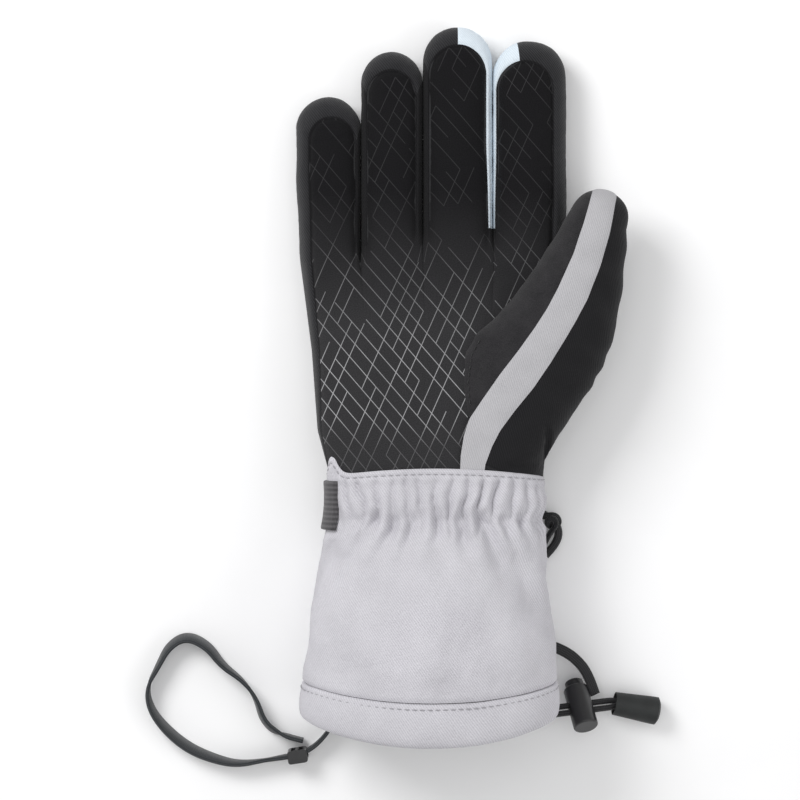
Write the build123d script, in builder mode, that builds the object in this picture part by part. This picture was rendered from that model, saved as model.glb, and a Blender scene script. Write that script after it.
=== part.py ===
from build123d import *
import os
from math import pi, radians, tan

# Ski glove for the right hand, lying on the back of the hand with the palm up.
# X runs to the thumb side, Y to the fingertips, Z up out of the palm.
# The origin is on the surface under the middle of the glove.  Millimetres.

# ---- fabric layers, as depths below the outside of the glove ----
SHELL = 1.4
PADDING_OUT = 1.5
PADDING_IN = 3.6
LINING_OUT = 3.7
LINING_IN = 4.5

# ---- fingers: left side, right side, tip, knuckle hinge, middle hinge ----
FINGERS = {
    "little": (-70.2, -42.8, 118.3, 63.0, 87.0),
    "ring": (-42.3, -16.5, 137.4, 71.0, 101.0),
    "middle": (-16.0, 13.2, 148.0, 71.0, 106.0),
    "index": (13.7, 44.8, 142.1, 71.0, 103.0),
}
FINGER_HEIGHT = 25.0
FINGER_CORNER = 11.0
FINGER_TIP_ROUND = 10.4
FACE_LEVEL = 18.0
FOURCHETTE_WIDTH = 4.0
FOURCHETTE_LOW = 4.0
FINGER_ROOT = 20.0

# ---- blocks that only cut: how far they reach past the glove ----
FAR = 200.0

# ---- hinges of the fingers ----
HINGE_HEIGHT = 16.5
HINGE_GAP = 0.2
KNUCKLE_BEND = 65.0
MIDDLE_BEND = 75.0
NOTCH_SPARE = 2.0
FOLD_HEIGHT = 60.0
FINGER_NOTCH_TOP = 10.0
THUMB_NOTCH_TOP = 18.0

# ---- hand: stations of Y with left, right, low and high sides ----
HAND_STATIONS = [
    (-42.0, -55.4, 34.5, 4.0, 48.0),
    (-20.0, -61.0, 38.0, -0.6, 45.0),
    (10.0, -63.5, 41.0, -0.6, 41.0),
    (48.0, -68.5, 44.2, -0.6, 33.0),
    (71.0, -70.2, 44.8, -0.6, 26.0),
]
CORNER_SHARE = 0.46
PALM_LEVEL = 18.0
BAND_LEVEL = 6.0
SIDE_SEAM = [(-65.0, 80.0), (-63.4, 40.0), (-60.8, 0.0), (-56.0, -50.0), (-90.0, -50.0), (-90.0, 80.0)]

# ---- thumb: it leaves the palm at an angle and has stations along its own axis ----
THUMB_START = (20.3, -27.6)
THUMB_AXIS = Vector(0.3502, 0.9367, 0)
THUMB_ACROSS = Vector(0.9367, -0.3502, 0)
THUMB_HINGE_HEIGHT = 28.0
THUMB_BASE_HINGE = 44.0
THUMB_TIP_HINGE = 76.0
THUMB_BASE_BEND = 35.0
THUMB_TIP_BEND = 45.0
THUMB_ROOT = [
    (-6.0, -20.0, 18.0, 8.0, 45.0), (17.0, -20.0, 22.6, 10.0, 46.0), (44.0, -21.0, 26.5, 12.0, 44.0),
]
THUMB_FREE = [
    (44.0, -21.0, 26.5, 12.0, 44.0),
    (76.0, -15.0, 23.0, 12.0, 44.0),
    (100.0, -11.0, 15.0, 15.0, 41.0),
    (108.0, -8.5, 12.0, 17.5, 38.5),
    (112.5, -5.0, 8.0, 21.0, 35.0),
]
THUMB_CLEAR = 0.6
STRIPE_PLAN = [
    (54.0, 85.0), (46.1, 49.7), (39.3, 35.4), (29.7, 19.1), (15.2, -0.3), (2.6, -18.7), (-1.2, -60.0),
    (8.5, -60.0), (8.5, -38.9), (24.9, -10.8), (39.4, 10.2), (51.8, 31.7), (58.5, 46.8), (66.0, 85.0),
]
PALM_EDGE_PLAN = [
    (95.0, 19.0), (7.0, 19.0), (4.6, 17.1), (0.8, 9.4), (-0.7, -2.2),
    (1.8, -18.7), (-1.2, -38.9), (-1.2, -60.0), (95.0, -60.0),
]
STRIPE_RIGHT_PLAN = [
    (66.0, 85.0), (58.5, 46.8), (51.8, 31.7), (39.4, 10.2), (24.9, -10.8), (8.5, -38.9), (8.5, -60.0),
    (110.0, -60.0), (110.0, 85.0),
]

# ---- wrist and gauntlet cuff: stations of Y with middle, half width, low and high sides ----
WRIST_HINGE_Y = -42.0
WRIST_HINGE_HEIGHT = 26.0
WRIST_BEND = 35.0
WRIST_BACK_BEND = 15.0
CUFF_STATIONS = [
    (-42.0, -11.0, 44.4, 5.5, 49.0),
    (-56.0, -11.0, 44.0, 6.0, 49.0),
    (-66.0, -11.6, 45.2, 5.5, 51.0),
    (-80.0, -12.5, 48.5, 2.0, 57.0),
    (-96.0, -12.6, 52.1, -0.6, 66.0),
    (-131.0, -14.0, 54.8, -0.6, 74.0),
    (-148.0, -13.8, 55.0, -0.6, 75.0),
]
HEM_START = -131.0
HEM_END = -148.0
HEM_DEPTH = 4.0
CUFF_LINING_OUT = 2.6
CUFF_LINING_IN = 3.5
ELASTIC_OUT = 1.5
ELASTIC_IN = 2.4
ELASTIC_RANGE = (-64.0, -48.0)
SIDE_SEAM_LEVELS = [(-42.0, 27.0), (-148.0, 37.0)]
STRAP_OUT = -1.6
STRAP_IN = -0.2
STRAP_RANGE = (-68.5, -48.5)
STRAP_LEVEL = 38.0
STRAP_END = 26.0
BUCKLE = (-2.0, -57.0, 0.3)
BUCKLE_WIDTH = 22.0
BUCKLE_LENGTH = 25.0
BUCKLE_THICK = 2.6
BUCKLE_SLOT = (4.6, 19.0)
BUCKLE_SLOT_SHIFT = 5.0

# ---- drawcord, its lock and its end ----
CORD = 2.6
CORD_SPACING = 3.3
HEM_CORD = 3.0
HEM_TUNNEL = 3.8
HEM_CORD_Y = -141.4
HEM_CORD_DEPTH = 2.0
CORD_EXIT = Vector(36.6, -143.4, 14.0)
CORD_WAY = Vector(0.9737, 0.0990, -0.2050)
LOCK_WAY = Vector(0.2000, -0.7900, 0.5796)
LOCK_FROM_EXIT = 14.9
LOCK_RADIUS = 5.3
LOCK_LENGTH = 19.0
PLUNGER_RADIUS = 3.9
PLUNGER_TRAVEL = 3.0
PLUNGER_REACH = 4.2
SLOT_LENGTH = 20.0
CORD_SPARE = 0.6
SPRING_RADIUS = 2.9
SPRING_WIRE = 0.5
SPRING_TURNS = 2.5
BELL_FROM_EXIT = 29.8
BELL_WAY = Vector(0.9787, -0.1850, -0.0890)
BELL_LENGTH = 19.5
BELL_CAP_START = 16.5
BELL_NECK_RADIUS = 4.9
BELL_MOUTH_RADIUS = 5.9
BELL_WALL = 1.3

# ---- leash: flat elastic strap standing on its edge on the surface ----
LEASH_WIDTH = 8.5
LEASH_THICK = 1.4
LEASH_BOTTOM = 1.3
LEASH_ROUTE = [
    (-55.6, -150.4), (-60.0, -161.4), (-84.0, -165.2), (-95.4, -166.8), (-105.2, -164.6),
    (-116.4, -160.0), (-126.2, -152.0), (-133.0, -143.0), (-134.4, -133.6), (-129.6, -124.8), (-125.2, -116.2),
    (-117.4, -111.6), (-108.2, -116.0), (-102.2, -124.4), (-93.6, -130.6), (-87.6, -138.4), (-84.4, -149.2),
    (-76.4, -154.6), (-67.4, -156.6),
]
SLIDER_FROM_BEND = 9.8
SLIDER_LENGTH = 8.4
SLIDER_WIDTH = 5.6
SLIDER_HEIGHT = 11.2
SLIDER_SLOT = 2.0
SLIDER_WINDOW = 2.4

# ---- tether tape of the cord lock and pull loop of the wrist strap ----
TAPE_WIDTH = 4.6
TAPE_THICK = 1.0
TETHER_ROUTE = [
    (36.6, -113.4, 14.4), (43.0, -115.2, 12.4), (49.8, -120.0, 9.4), (55.2, -126.8, 6.6), (58.6, -134.2, 4.8),
]
PULL_WIDTH = 3.4
PULL_ROUTE = [
    (24.5, -55.0, 5.4), (31.0, -57.0, 5.4), (37.4, -60.6, 5.0), (42.4, -65.6, 4.4), (41.4, -72.4, 4.0),
    (36.4, -77.4, 3.8),
]

os.makedirs("parts", exist_ok=True)


def save(name, solid):
    """Label one piece and write it under its own name."""
    solid.label = name
    export_step(solid, f"parts/{name}.step")


def cross_plane(y):
    """Plane across the glove at a Y station: its x is world X, and its y points down."""
    return Plane(origin=(0, y, 0), x_dir=(1, 0, 0), z_dir=(0, 1, 0))


def thumb_plane(distance):
    """Plane across the thumb at a distance along the thumb's axis."""
    foot = Vector(THUMB_START[0], THUMB_START[1], 0) + THUMB_AXIS * distance
    return Plane(origin=foot, x_dir=THUMB_ACROSS, z_dir=THUMB_AXIS)


def tube(stations, plane_at, inset):
    """Ruled loft through rounded rectangles (place, left, right, low, high), pulled in on every side."""
    with BuildPart() as solid:
        for place, left, right, low, high in stations:
            with BuildSketch(plane_at(place)):
                with Locations(((left + right) / 2, -(low + high) / 2)):
                    corner = CORNER_SHARE * min(high - low, right - left) - inset
                    RectangleRounded(right - left - 2 * inset, high - low - 2 * inset, max(corner, 1.0))
        loft(ruled=True)
    return solid.part


def cuff_tube(inset):
    """The cuff's outside, pulled in by a depth."""
    stations = [(y, middle - half, middle + half, low, high) for y, middle, half, low, high in CUFF_STATIONS]
    return tube(stations, cross_plane, inset)


def prism_along_x(points, left, right):
    """Solid whose outline is given in Y and Z, from one X to another."""
    with BuildPart() as solid:
        with BuildSketch(Plane.YZ.offset(left)):
            with BuildLine():
                Polyline(*points, close=True)
            make_face()
        extrude(amount=right - left)
    return solid.part


def prism_along_z(points, low, high):
    """Solid whose outline is given in X and Y, from one height to another."""
    with BuildPart() as solid:
        with BuildSketch(Plane.XY.offset(low)):
            with BuildLine():
                Polyline(*points, close=True)
            make_face()
        extrude(amount=high - low)
    return solid.part


def prism_along_thumb(points, left, right):
    """Solid whose outline is given along the thumb's axis and in Z, across the thumb."""
    foot = Vector(THUMB_START[0], THUMB_START[1], 0) + THUMB_ACROSS * left
    side = Plane(origin=foot, x_dir=THUMB_AXIS, z_dir=THUMB_ACROSS)
    with BuildPart() as solid:
        with BuildSketch(side):
            with BuildLine():
                Polyline(*[(along, height) for along, height in points], close=True)
            make_face()
        extrude(amount=right - left)
    return solid.part


def beside_wrist(side):
    """Solid on one side of the wrist fold (1 for the hand, -1 for the cuff), less its share of the notches."""
    start = WRIST_HINGE_Y + side * HINGE_GAP
    upper = tan(radians(WRIST_BEND / 2 + NOTCH_SPARE)) * FOLD_HEIGHT
    lower = tan(radians(WRIST_BACK_BEND / 2 + NOTCH_SPARE)) * FOLD_HEIGHT
    outline = [
        (start, WRIST_HINGE_HEIGHT), (start + side * upper, WRIST_HINGE_HEIGHT + FOLD_HEIGHT),
        (side * 300, WRIST_HINGE_HEIGHT + FOLD_HEIGHT), (side * 300, WRIST_HINGE_HEIGHT - FOLD_HEIGHT),
        (start + side * lower, WRIST_HINGE_HEIGHT - FOLD_HEIGHT),
    ]
    return prism_along_x(outline, -FAR, FAR)


def between_folds(start, start_bend, end, end_bend, height, top):
    """Outline of a piece between two folds, or up to the tip; top is its reach above the fold."""
    lean = tan(radians(start_bend / 2 + NOTCH_SPARE)) * FOLD_HEIGHT
    points = [(start + HINGE_GAP, -10), (start + HINGE_GAP, height)]
    if end is None:
        return points + [
            (start + HINGE_GAP + lean, height + FOLD_HEIGHT), (2 * FAR, height + FOLD_HEIGHT), (2 * FAR, -10)]
    start_lean = lean * top / FOLD_HEIGHT
    end_lean = tan(radians(end_bend / 2 + NOTCH_SPARE)) * top
    return points + [
        (start + HINGE_GAP + start_lean, height + top), (end - HINGE_GAP - end_lean, height + top),
        (end - HINGE_GAP, height), (end - HINGE_GAP, -10),
    ]


def layer(outside, inside):
    """One fabric layer: what lies between two nested solids."""
    with BuildPart() as cloth:
        add(outside)
        add(inside, mode=Mode.SUBTRACT)
    return cloth.part


def keep(solid, *regions):
    """The part of a solid inside every region."""
    with BuildPart() as kept:
        add(solid)
        for region in regions:
            add(region, mode=Mode.INTERSECT)
    return kept.part


def drop(solid, *regions):
    """The part of a solid outside every region."""
    with BuildPart() as kept:
        add(solid)
        for region in regions:
            add(region, mode=Mode.SUBTRACT)
    return kept.part


def block(low_corner, high_corner):
    """Plain box between two corners."""
    size = [high - low for low, high in zip(low_corner, high_corner)]
    with BuildPart() as solid:
        with Locations(tuple((low + high) / 2 for low, high in zip(low_corner, high_corner))):
            Box(*size)
    return solid.part


# ======== fingers ========

def finger_solid(left, right, tip, inset):
    """A whole finger's outside with its rounded tip, pulled in by a depth."""
    with BuildPart() as solid:
        with BuildSketch(cross_plane(FINGER_ROOT)):
            with Locations(((left + right) / 2, -FINGER_HEIGHT / 2)):
                RectangleRounded(right - left - 2 * inset, FINGER_HEIGHT - 2 * inset, FINGER_CORNER - inset)
        extrude(amount=tip - inset - FINGER_ROOT)
        fillet(solid.faces().sort_by(Axis.Y)[-1].edges(), FINGER_TIP_ROUND - inset)
    return solid.part


ABOVE_FACE = block((-FAR, -FAR, FACE_LEVEL), (FAR, FAR, FAR))
BELOW_FACE = block((-FAR, -FAR, -FAR), (FAR, FAR, FACE_LEVEL))


def make_finger(name):
    """Face, wrap and liner of a finger's base and tip; middle and index also have a white fourchette."""
    left, right, tip, knuckle, middle = FINGERS[name]
    solids = {inset: finger_solid(left, right, tip, inset) for inset in (0, SHELL, PADDING_OUT, LINING_IN)}
    shell = layer(solids[0], solids[SHELL])
    liner = layer(solids[PADDING_OUT], solids[LINING_IN])
    spans = {
        "base": between_folds(knuckle, KNUCKLE_BEND, middle, MIDDLE_BEND, HINGE_HEIGHT, FINGER_NOTCH_TOP),
        "tip": between_folds(middle, MIDDLE_BEND, None, None, HINGE_HEIGHT, FINGER_NOTCH_TOP),
    }
    for span, outline in spans.items():
        region = prism_along_x(outline, left - 5, right + 5)
        piece = keep(shell, region)
        save(f"{name}_{span}_face", keep(piece, ABOVE_FACE))
        wrap = keep(piece, BELOW_FACE)
        strip = None
        if name == "middle":
            strip = block((right - FOURCHETTE_WIDTH, 0, FOURCHETTE_LOW), (right + 1, FAR, FACE_LEVEL))
        if name == "index":
            strip = block((left - 1, 0, FOURCHETTE_LOW), (left + FOURCHETTE_WIDTH, FAR, FACE_LEVEL))
        if strip:
            save(f"{name}_{span}_fourchette", keep(wrap, strip))
            wrap = drop(wrap, strip)
        save(f"{name}_{span}_wrap", wrap)
        save(f"{name}_{span}_liner", keep(liner, region))


for finger in FINGERS:
    make_finger(finger)


# ======== thumb ========

def inner_thumb(stations, inset):
    """Free thumb pulled in by a depth, with its rounded end drawn back by as much."""
    end = [(along - inset, left, right, low, high) for along, left, right, low, high in stations[-2:]]
    return tube(stations[:-2] + end, thumb_plane, inset)


thumb_shell = layer(inner_thumb(THUMB_FREE, 0), inner_thumb(THUMB_FREE, SHELL))
thumb_liner = layer(inner_thumb(THUMB_FREE, PADDING_OUT), inner_thumb(THUMB_FREE, LINING_IN))
stripe_region = prism_along_z(STRIPE_PLAN, THUMB_HINGE_HEIGHT, 90)
outer_region = prism_along_z(STRIPE_RIGHT_PLAN, THUMB_HINGE_HEIGHT - 1, 90)
thumb_upper = block((-FAR, -FAR, THUMB_HINGE_HEIGHT), (FAR, FAR, FAR))
front_region = drop(thumb_upper, stripe_region, outer_region)

thumb_spans = {
    "thumb_base": between_folds(
        THUMB_BASE_HINGE, THUMB_BASE_BEND, THUMB_TIP_HINGE, THUMB_TIP_BEND, THUMB_HINGE_HEIGHT,
        THUMB_NOTCH_TOP),
    "thumb_tip": between_folds(
        THUMB_TIP_HINGE, THUMB_TIP_BEND, None, None, THUMB_HINGE_HEIGHT, THUMB_NOTCH_TOP),
}
for name, outline in thumb_spans.items():
    region = prism_along_thumb(outline, -60, 60)
    piece = keep(thumb_shell, region)
    save(f"{name}_front", keep(piece, front_region))
    save(f"{name}_stripe", keep(piece, stripe_region))
    save(f"{name}_back", drop(piece, front_region, stripe_region))
    save(f"{name}_liner", keep(thumb_liner, region))


# ======== hand ========

def hand_solid(inset):
    """Hand and thumb root together, less the room that the free thumb needs, pulled in by a depth."""
    room = [(along, left - inset, right + inset, low - inset, high + inset)
            for along, left, right, low, high in THUMB_FREE[:3]]
    room = room + [(THUMB_FREE[3][0] + 60,) + room[-1][1:]]
    with BuildPart() as solid:
        add(tube(HAND_STATIONS, cross_plane, inset))
        add(tube(THUMB_ROOT, thumb_plane, inset))
        add(tube(room, thumb_plane, -THUMB_CLEAR), mode=Mode.SUBTRACT)
    return solid.part


def beyond_knuckle(name):
    """Room in front of one finger's knuckle fold, which the hand leaves free."""
    left, right, tip, knuckle, middle = FINGERS[name]
    lean = tan(radians(KNUCKLE_BEND / 2 + NOTCH_SPARE)) * FOLD_HEIGHT
    outline = [
        (knuckle - HINGE_GAP, -10), (knuckle - HINGE_GAP, HINGE_HEIGHT),
        (knuckle - HINGE_GAP - lean, HINGE_HEIGHT + FOLD_HEIGHT), (FAR, HINGE_HEIGHT + FOLD_HEIGHT), (FAR, -10),
    ]
    return prism_along_x(outline, left - 0.3, right + 0.3)


thumb_lean = tan(radians(THUMB_BASE_BEND / 2 + NOTCH_SPARE)) * FOLD_HEIGHT
notch_before_thumb = prism_along_thumb(
    [(THUMB_BASE_HINGE - HINGE_GAP, THUMB_HINGE_HEIGHT),
     (THUMB_BASE_HINGE - HINGE_GAP - thumb_lean, THUMB_HINGE_HEIGHT + FOLD_HEIGHT),
     (THUMB_BASE_HINGE + 30, THUMB_HINGE_HEIGHT + FOLD_HEIGHT), (THUMB_BASE_HINGE + 30, THUMB_HINGE_HEIGHT)],
    -22, 40)
below_ground = block((-FAR, -FAR, -FAR), (FAR, FAR, 0))
away_from_hand = [below_ground, notch_before_thumb]
away_from_hand += [beyond_knuckle(name) for name in FINGERS]
hand_side = beside_wrist(1)


def hand_layer(outside, inside):
    """One layer of the hand, open at the wrist, the knuckles and the thumb."""
    return drop(keep(layer(hand_solid(outside), hand_solid(inside)), hand_side), *away_from_hand)


hand_shell = hand_layer(0, SHELL)
thumb_side_region = prism_along_z(PALM_EDGE_PLAN, PALM_LEVEL, 90)
side_band_region = prism_along_z(SIDE_SEAM, BAND_LEVEL, 90)
stripe_region = prism_along_z(STRIPE_PLAN, PALM_LEVEL - 1, 90)
outer_region = prism_along_z(STRIPE_RIGHT_PLAN, PALM_LEVEL - 1, 90)
upper_region = block((-FAR, -FAR, PALM_LEVEL), (FAR, FAR, FAR))

upper_hand = keep(hand_shell, upper_region)
thumb_root = keep(upper_hand, thumb_side_region)
save("ulnar_side_band", keep(hand_shell, side_band_region))
save("palm_panel", drop(upper_hand, thumb_side_region, side_band_region))
save("thumb_root_front", drop(thumb_root, stripe_region, outer_region))
save("thumb_root_stripe", keep(thumb_root, stripe_region))
palm_region = drop(upper_region, outer_region)
save("back_panel", drop(hand_shell, side_band_region, palm_region))
save("hand_liner", hand_layer(PADDING_OUT, LINING_IN))


# ======== wrist and gauntlet cuff ========

cuff_side = beside_wrist(-1)
before_hem = block((-FAR, HEM_START, -FAR), (FAR, 0, FAR))
within_hem = block((-FAR, HEM_END - 5, -FAR), (FAR, HEM_START - 0.05, FAR))
cuff_solids = {inset: cuff_tube(inset) for inset in (0, SHELL, CUFF_LINING_OUT, CUFF_LINING_IN)}
cuff_shell = keep(layer(cuff_solids[0], cuff_solids[SHELL]), cuff_side, before_hem)
(seam_y, seam_z), (seam_end_y, seam_end_z) = SIDE_SEAM_LEVELS
above_side_seam = prism_along_x(
    [(seam_y + 20, seam_z), (seam_y + 20, FAR), (seam_end_y - 20, FAR), (seam_end_y - 20, seam_end_z)],
    -FAR, FAR)
save("cuff_palm_panel", keep(cuff_shell, above_side_seam))
save("cuff_back_panel", drop(cuff_shell, above_side_seam, below_ground))

hem_before, hem_after = CUFF_STATIONS[-2:]
hem_share = (HEM_CORD_Y - hem_before[0]) / (hem_after[0] - hem_before[0])
hem_middle, hem_half, hem_low, hem_high = [
    before + (after - before) * hem_share for before, after in zip(hem_before[1:], hem_after[1:])]
with BuildSketch(cross_plane(HEM_CORD_Y)) as hem_round:
    with Locations((hem_middle, -(hem_low + hem_high) / 2)):
        RectangleRounded(
            2 * (hem_half - HEM_CORD_DEPTH), hem_high - hem_low - 2 * HEM_CORD_DEPTH,
            CORNER_SHARE * (hem_high - hem_low) - HEM_CORD_DEPTH)
hem_path = hem_round.sketch.face().outer_wire()


def hem_ring(diameter):
    """Round ring that follows the hem inside its tunnel."""
    with BuildPart() as ring:
        with BuildSketch(Plane(origin=hem_path @ 0, z_dir=hem_path % 0)):
            Circle(diameter / 2)
        sweep(path=hem_path)
    return ring.part


def cylinder_along(start, way, length, radius):
    """Round rod from a point along a direction."""
    with BuildPart() as rod:
        with BuildSketch(Plane(origin=start, z_dir=way)):
            Circle(radius)
        extrude(amount=length)
    return rod.part


cord_hole = cylinder_along(CORD_EXIT - CORD_WAY * 14, CORD_WAY, 20, CORD_SPACING / 2 + CORD / 2 + 0.3)
with BuildPart() as hem_band:
    add(keep(layer(cuff_solids[0], cuff_tube(HEM_DEPTH)), within_hem))
    add(hem_ring(HEM_TUNNEL), mode=Mode.SUBTRACT)
    add(cord_hole, mode=Mode.SUBTRACT)
    add(below_ground, mode=Mode.SUBTRACT)
save("hem_band", hem_band.part)
save("hem_drawcord", drop(hem_ring(HEM_CORD), cord_hole))

lining = keep(layer(cuff_solids[CUFF_LINING_OUT], cuff_solids[CUFF_LINING_IN]), cuff_side, before_hem)
save("cuff_lining", lining)
elastic_slab = block((-FAR, ELASTIC_RANGE[0], -FAR), (FAR, ELASTIC_RANGE[1], FAR))
save("wrist_elastic", keep(layer(cuff_tube(ELASTIC_OUT), cuff_tube(ELASTIC_IN)), elastic_slab, cuff_side))

# ======== wrist strap across the back of the wrist, with its buckle ========

strap_slab = block((-FAR, STRAP_RANGE[0], -FAR), (STRAP_END, STRAP_RANGE[1], STRAP_LEVEL))
save("wrist_strap", keep(layer(cuff_tube(STRAP_OUT), cuff_tube(STRAP_IN)), strap_slab))

buckle_x, buckle_y, buckle_z = BUCKLE
with BuildPart() as strap_buckle:
    with BuildSketch(Plane.XY.offset(buckle_z)):
        with Locations((buckle_x, buckle_y)):
            RectangleRounded(BUCKLE_WIDTH, BUCKLE_LENGTH, 3)
            with Locations((-BUCKLE_SLOT_SHIFT, 0), (BUCKLE_SLOT_SHIFT, 0)):
                RectangleRounded(*BUCKLE_SLOT, 1, mode=Mode.SUBTRACT)
    extrude(amount=BUCKLE_THICK)
    fillet(strap_buckle.edges().group_by(Axis.Z)[-1], 0.6)
save("strap_buckle", strap_buckle.part)


# ======== cords and tapes ========

def route_radii(points):
    """Largest even arcs for a route: 0.45 of the shorter run over the tangent of half the turn."""
    radii = []
    for before, here, after in zip(points[:-2], points[1:-1], points[2:]):
        run_in = Vector(*here) - Vector(*before)
        run_out = Vector(*after) - Vector(*here)
        half_turn = radians(run_in.get_angle(run_out) / 2)
        radii.append(0.45 * min(run_in.length, run_out.length) / tan(half_turn))
    return radii


def report_route(name, path, radii, section, solid):
    """Print a route's length, its tightest arc and how its solid's volume compares."""
    print(f"{name}: length {path.length:.1f}, tightest arc {min(radii):.1f}, largest {max(radii):.1f}, "
          f"volume {solid.volume:.0f} for section times length {section * path.length:.0f}")


def flat_strap(name, points, width, thick, upright):
    """Strap of rectangular section along a route of straight runs and tangent arcs."""
    radii = route_radii(points)
    with BuildPart() as strap:
        with BuildLine() as route:
            FilletPolyline(*points, radius=radii)
        start = route.wire() @ 0
        ahead = route.wire() % 0
        across = Vector(0, 0, 1) if upright else ahead.cross(Vector(0, 0, 1))
        with BuildSketch(Plane(origin=start, x_dir=across, z_dir=ahead)):
            Rectangle(width, thick)
        sweep(path=route.wire())
    report_route(name, route.wire(), radii, width * thick, strap.part)
    return strap.part


leash_middle = LEASH_BOTTOM + LEASH_WIDTH / 2
save("leash_strap", flat_strap(
    "leash_strap", [(x, y, leash_middle) for x, y in LEASH_ROUTE], LEASH_WIDTH, LEASH_THICK, True))
save("lock_tether", flat_strap("lock_tether", TETHER_ROUTE, TAPE_WIDTH, TAPE_THICK, False))
save("wrist_pull_loop", flat_strap("wrist_pull_loop", PULL_ROUTE, PULL_WIDTH, PULL_WIDTH, True))

# ======== leash slider: three bars that the strap is threaded through ========

bend = Vector(*LEASH_ROUTE[1], 0)
slider_along = (Vector(*LEASH_ROUTE[2], 0) - bend).normalized()
slider_plane = Plane(origin=bend + slider_along * SLIDER_FROM_BEND, x_dir=slider_along, z_dir=(0, 0, 1))
slot_low = LEASH_BOTTOM - 0.3
with BuildPart() as leash_slider:
    with BuildSketch(slider_plane.offset(0.1)):
        RectangleRounded(SLIDER_LENGTH, SLIDER_WIDTH, 1.2)
    extrude(amount=SLIDER_HEIGHT)
    with BuildSketch(slider_plane.offset(slot_low)):
        Rectangle(SLIDER_LENGTH + 2, SLIDER_SLOT)
        with Locations((-SLIDER_LENGTH / 5, 0), (SLIDER_LENGTH / 5, 0)):
            Rectangle(SLIDER_WINDOW - 0.6, SLIDER_WIDTH + 2)
    extrude(amount=LEASH_WIDTH + 0.6, mode=Mode.SUBTRACT)
save("leash_slider", leash_slider.part)

# ======== drawcord tail, cord lock and bell end ========

lock_middle = CORD_EXIT + CORD_WAY * LOCK_FROM_EXIT
bell_neck = CORD_EXIT + CORD_WAY * BELL_FROM_EXIT
strand_shift = LOCK_WAY * (CORD_SPACING / 2)
turn_in_bell = CORD_WAY * 2.5
tail_start = CORD_WAY * -2.0
tail_points = [
    CORD_EXIT + strand_shift + tail_start, bell_neck + strand_shift + turn_in_bell,
    bell_neck - strand_shift + turn_in_bell, CORD_EXIT - strand_shift + tail_start,
]
with BuildPart() as drawcord_tail:
    with BuildLine() as tail_path:
        FilletPolyline(*tail_points, radius=CORD_SPACING / 2 - 0.01)
    with BuildSketch(Plane(origin=tail_path.wire() @ 0, z_dir=tail_path.wire() % 0)):
        Circle(CORD / 2)
    sweep(path=tail_path.wire())
save("drawcord_tail", drawcord_tail.part)
report_route(
    "drawcord_tail", tail_path.wire(), [CORD_SPACING / 2], pi * CORD ** 2 / 4, drawcord_tail.part)


def cord_slot(spare_along, spare_across):
    """Room for both strands through the lock, centred on the lock."""
    with BuildPart() as slot:
        slot_start = lock_middle - CORD_WAY * SLOT_LENGTH / 2
        with BuildSketch(Plane(origin=slot_start, x_dir=LOCK_WAY, z_dir=CORD_WAY)):
            SlotOverall(CORD_SPACING + CORD + spare_along, CORD + spare_across)
        extrude(amount=SLOT_LENGTH)
    return slot.part


lock_foot = lock_middle - LOCK_WAY * (LOCK_LENGTH / 2)
with BuildPart() as lock_barrel:
    add(cylinder_along(lock_foot, LOCK_WAY, LOCK_LENGTH, LOCK_RADIUS))
    fillet(lock_barrel.edges().filter_by(GeomType.CIRCLE), 0.8)
    add(cylinder_along(lock_foot - LOCK_WAY, LOCK_WAY, LOCK_LENGTH - 1, PLUNGER_RADIUS + 0.1),
        mode=Mode.SUBTRACT)
    add(cord_slot(CORD_SPARE, CORD_SPARE), mode=Mode.SUBTRACT)
save("lock_barrel", lock_barrel.part)

plunger_foot = lock_foot - LOCK_WAY * PLUNGER_TRAVEL
plunger_length = LOCK_LENGTH / 2 + PLUNGER_TRAVEL + PLUNGER_REACH
with BuildPart() as lock_plunger:
    add(cylinder_along(plunger_foot, LOCK_WAY, plunger_length, PLUNGER_RADIUS))
    add(cord_slot(2 * PLUNGER_TRAVEL + CORD_SPARE, CORD_SPARE), mode=Mode.SUBTRACT)
save("lock_plunger", lock_plunger.part)

spring_room = LOCK_LENGTH - 2.0 - (plunger_length - PLUNGER_TRAVEL)
spring_start = plunger_foot + LOCK_WAY * (plunger_length + SPRING_WIRE / 2 + 0.1)
coil_height = spring_room - SPRING_WIRE - 0.4
with BuildPart() as lock_spring:
    with BuildLine() as coil:
        Helix(pitch=coil_height / SPRING_TURNS, height=coil_height, radius=SPRING_RADIUS, center=spring_start,
              direction=LOCK_WAY)
    coil_edge = coil.line.edge()
    with BuildSketch(Plane(origin=coil_edge @ 0, z_dir=coil_edge % 0)):
        Circle(SPRING_WIRE / 2)
    sweep(path=coil_edge, is_frenet=True)
save("lock_spring", lock_spring.part)

bell_plane = Plane(origin=bell_neck, x_dir=BELL_WAY, z_dir=(BELL_WAY.cross(Vector(0, 0, 1))))
with BuildPart() as cord_bell:
    with BuildSketch(bell_plane):
        with BuildLine():
            Polyline((0, BELL_NECK_RADIUS - 0.5), (0, BELL_NECK_RADIUS), (5, BELL_NECK_RADIUS + 0.3),
                     (BELL_CAP_START, BELL_MOUTH_RADIUS), (BELL_CAP_START, BELL_MOUTH_RADIUS - BELL_WALL),
                     (8, BELL_NECK_RADIUS - 0.9), (6, BELL_NECK_RADIUS - 0.8), close=True)
        make_face()
    revolve(axis=Axis(bell_neck, BELL_WAY))
save("cord_bell", cord_bell.part)

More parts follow.
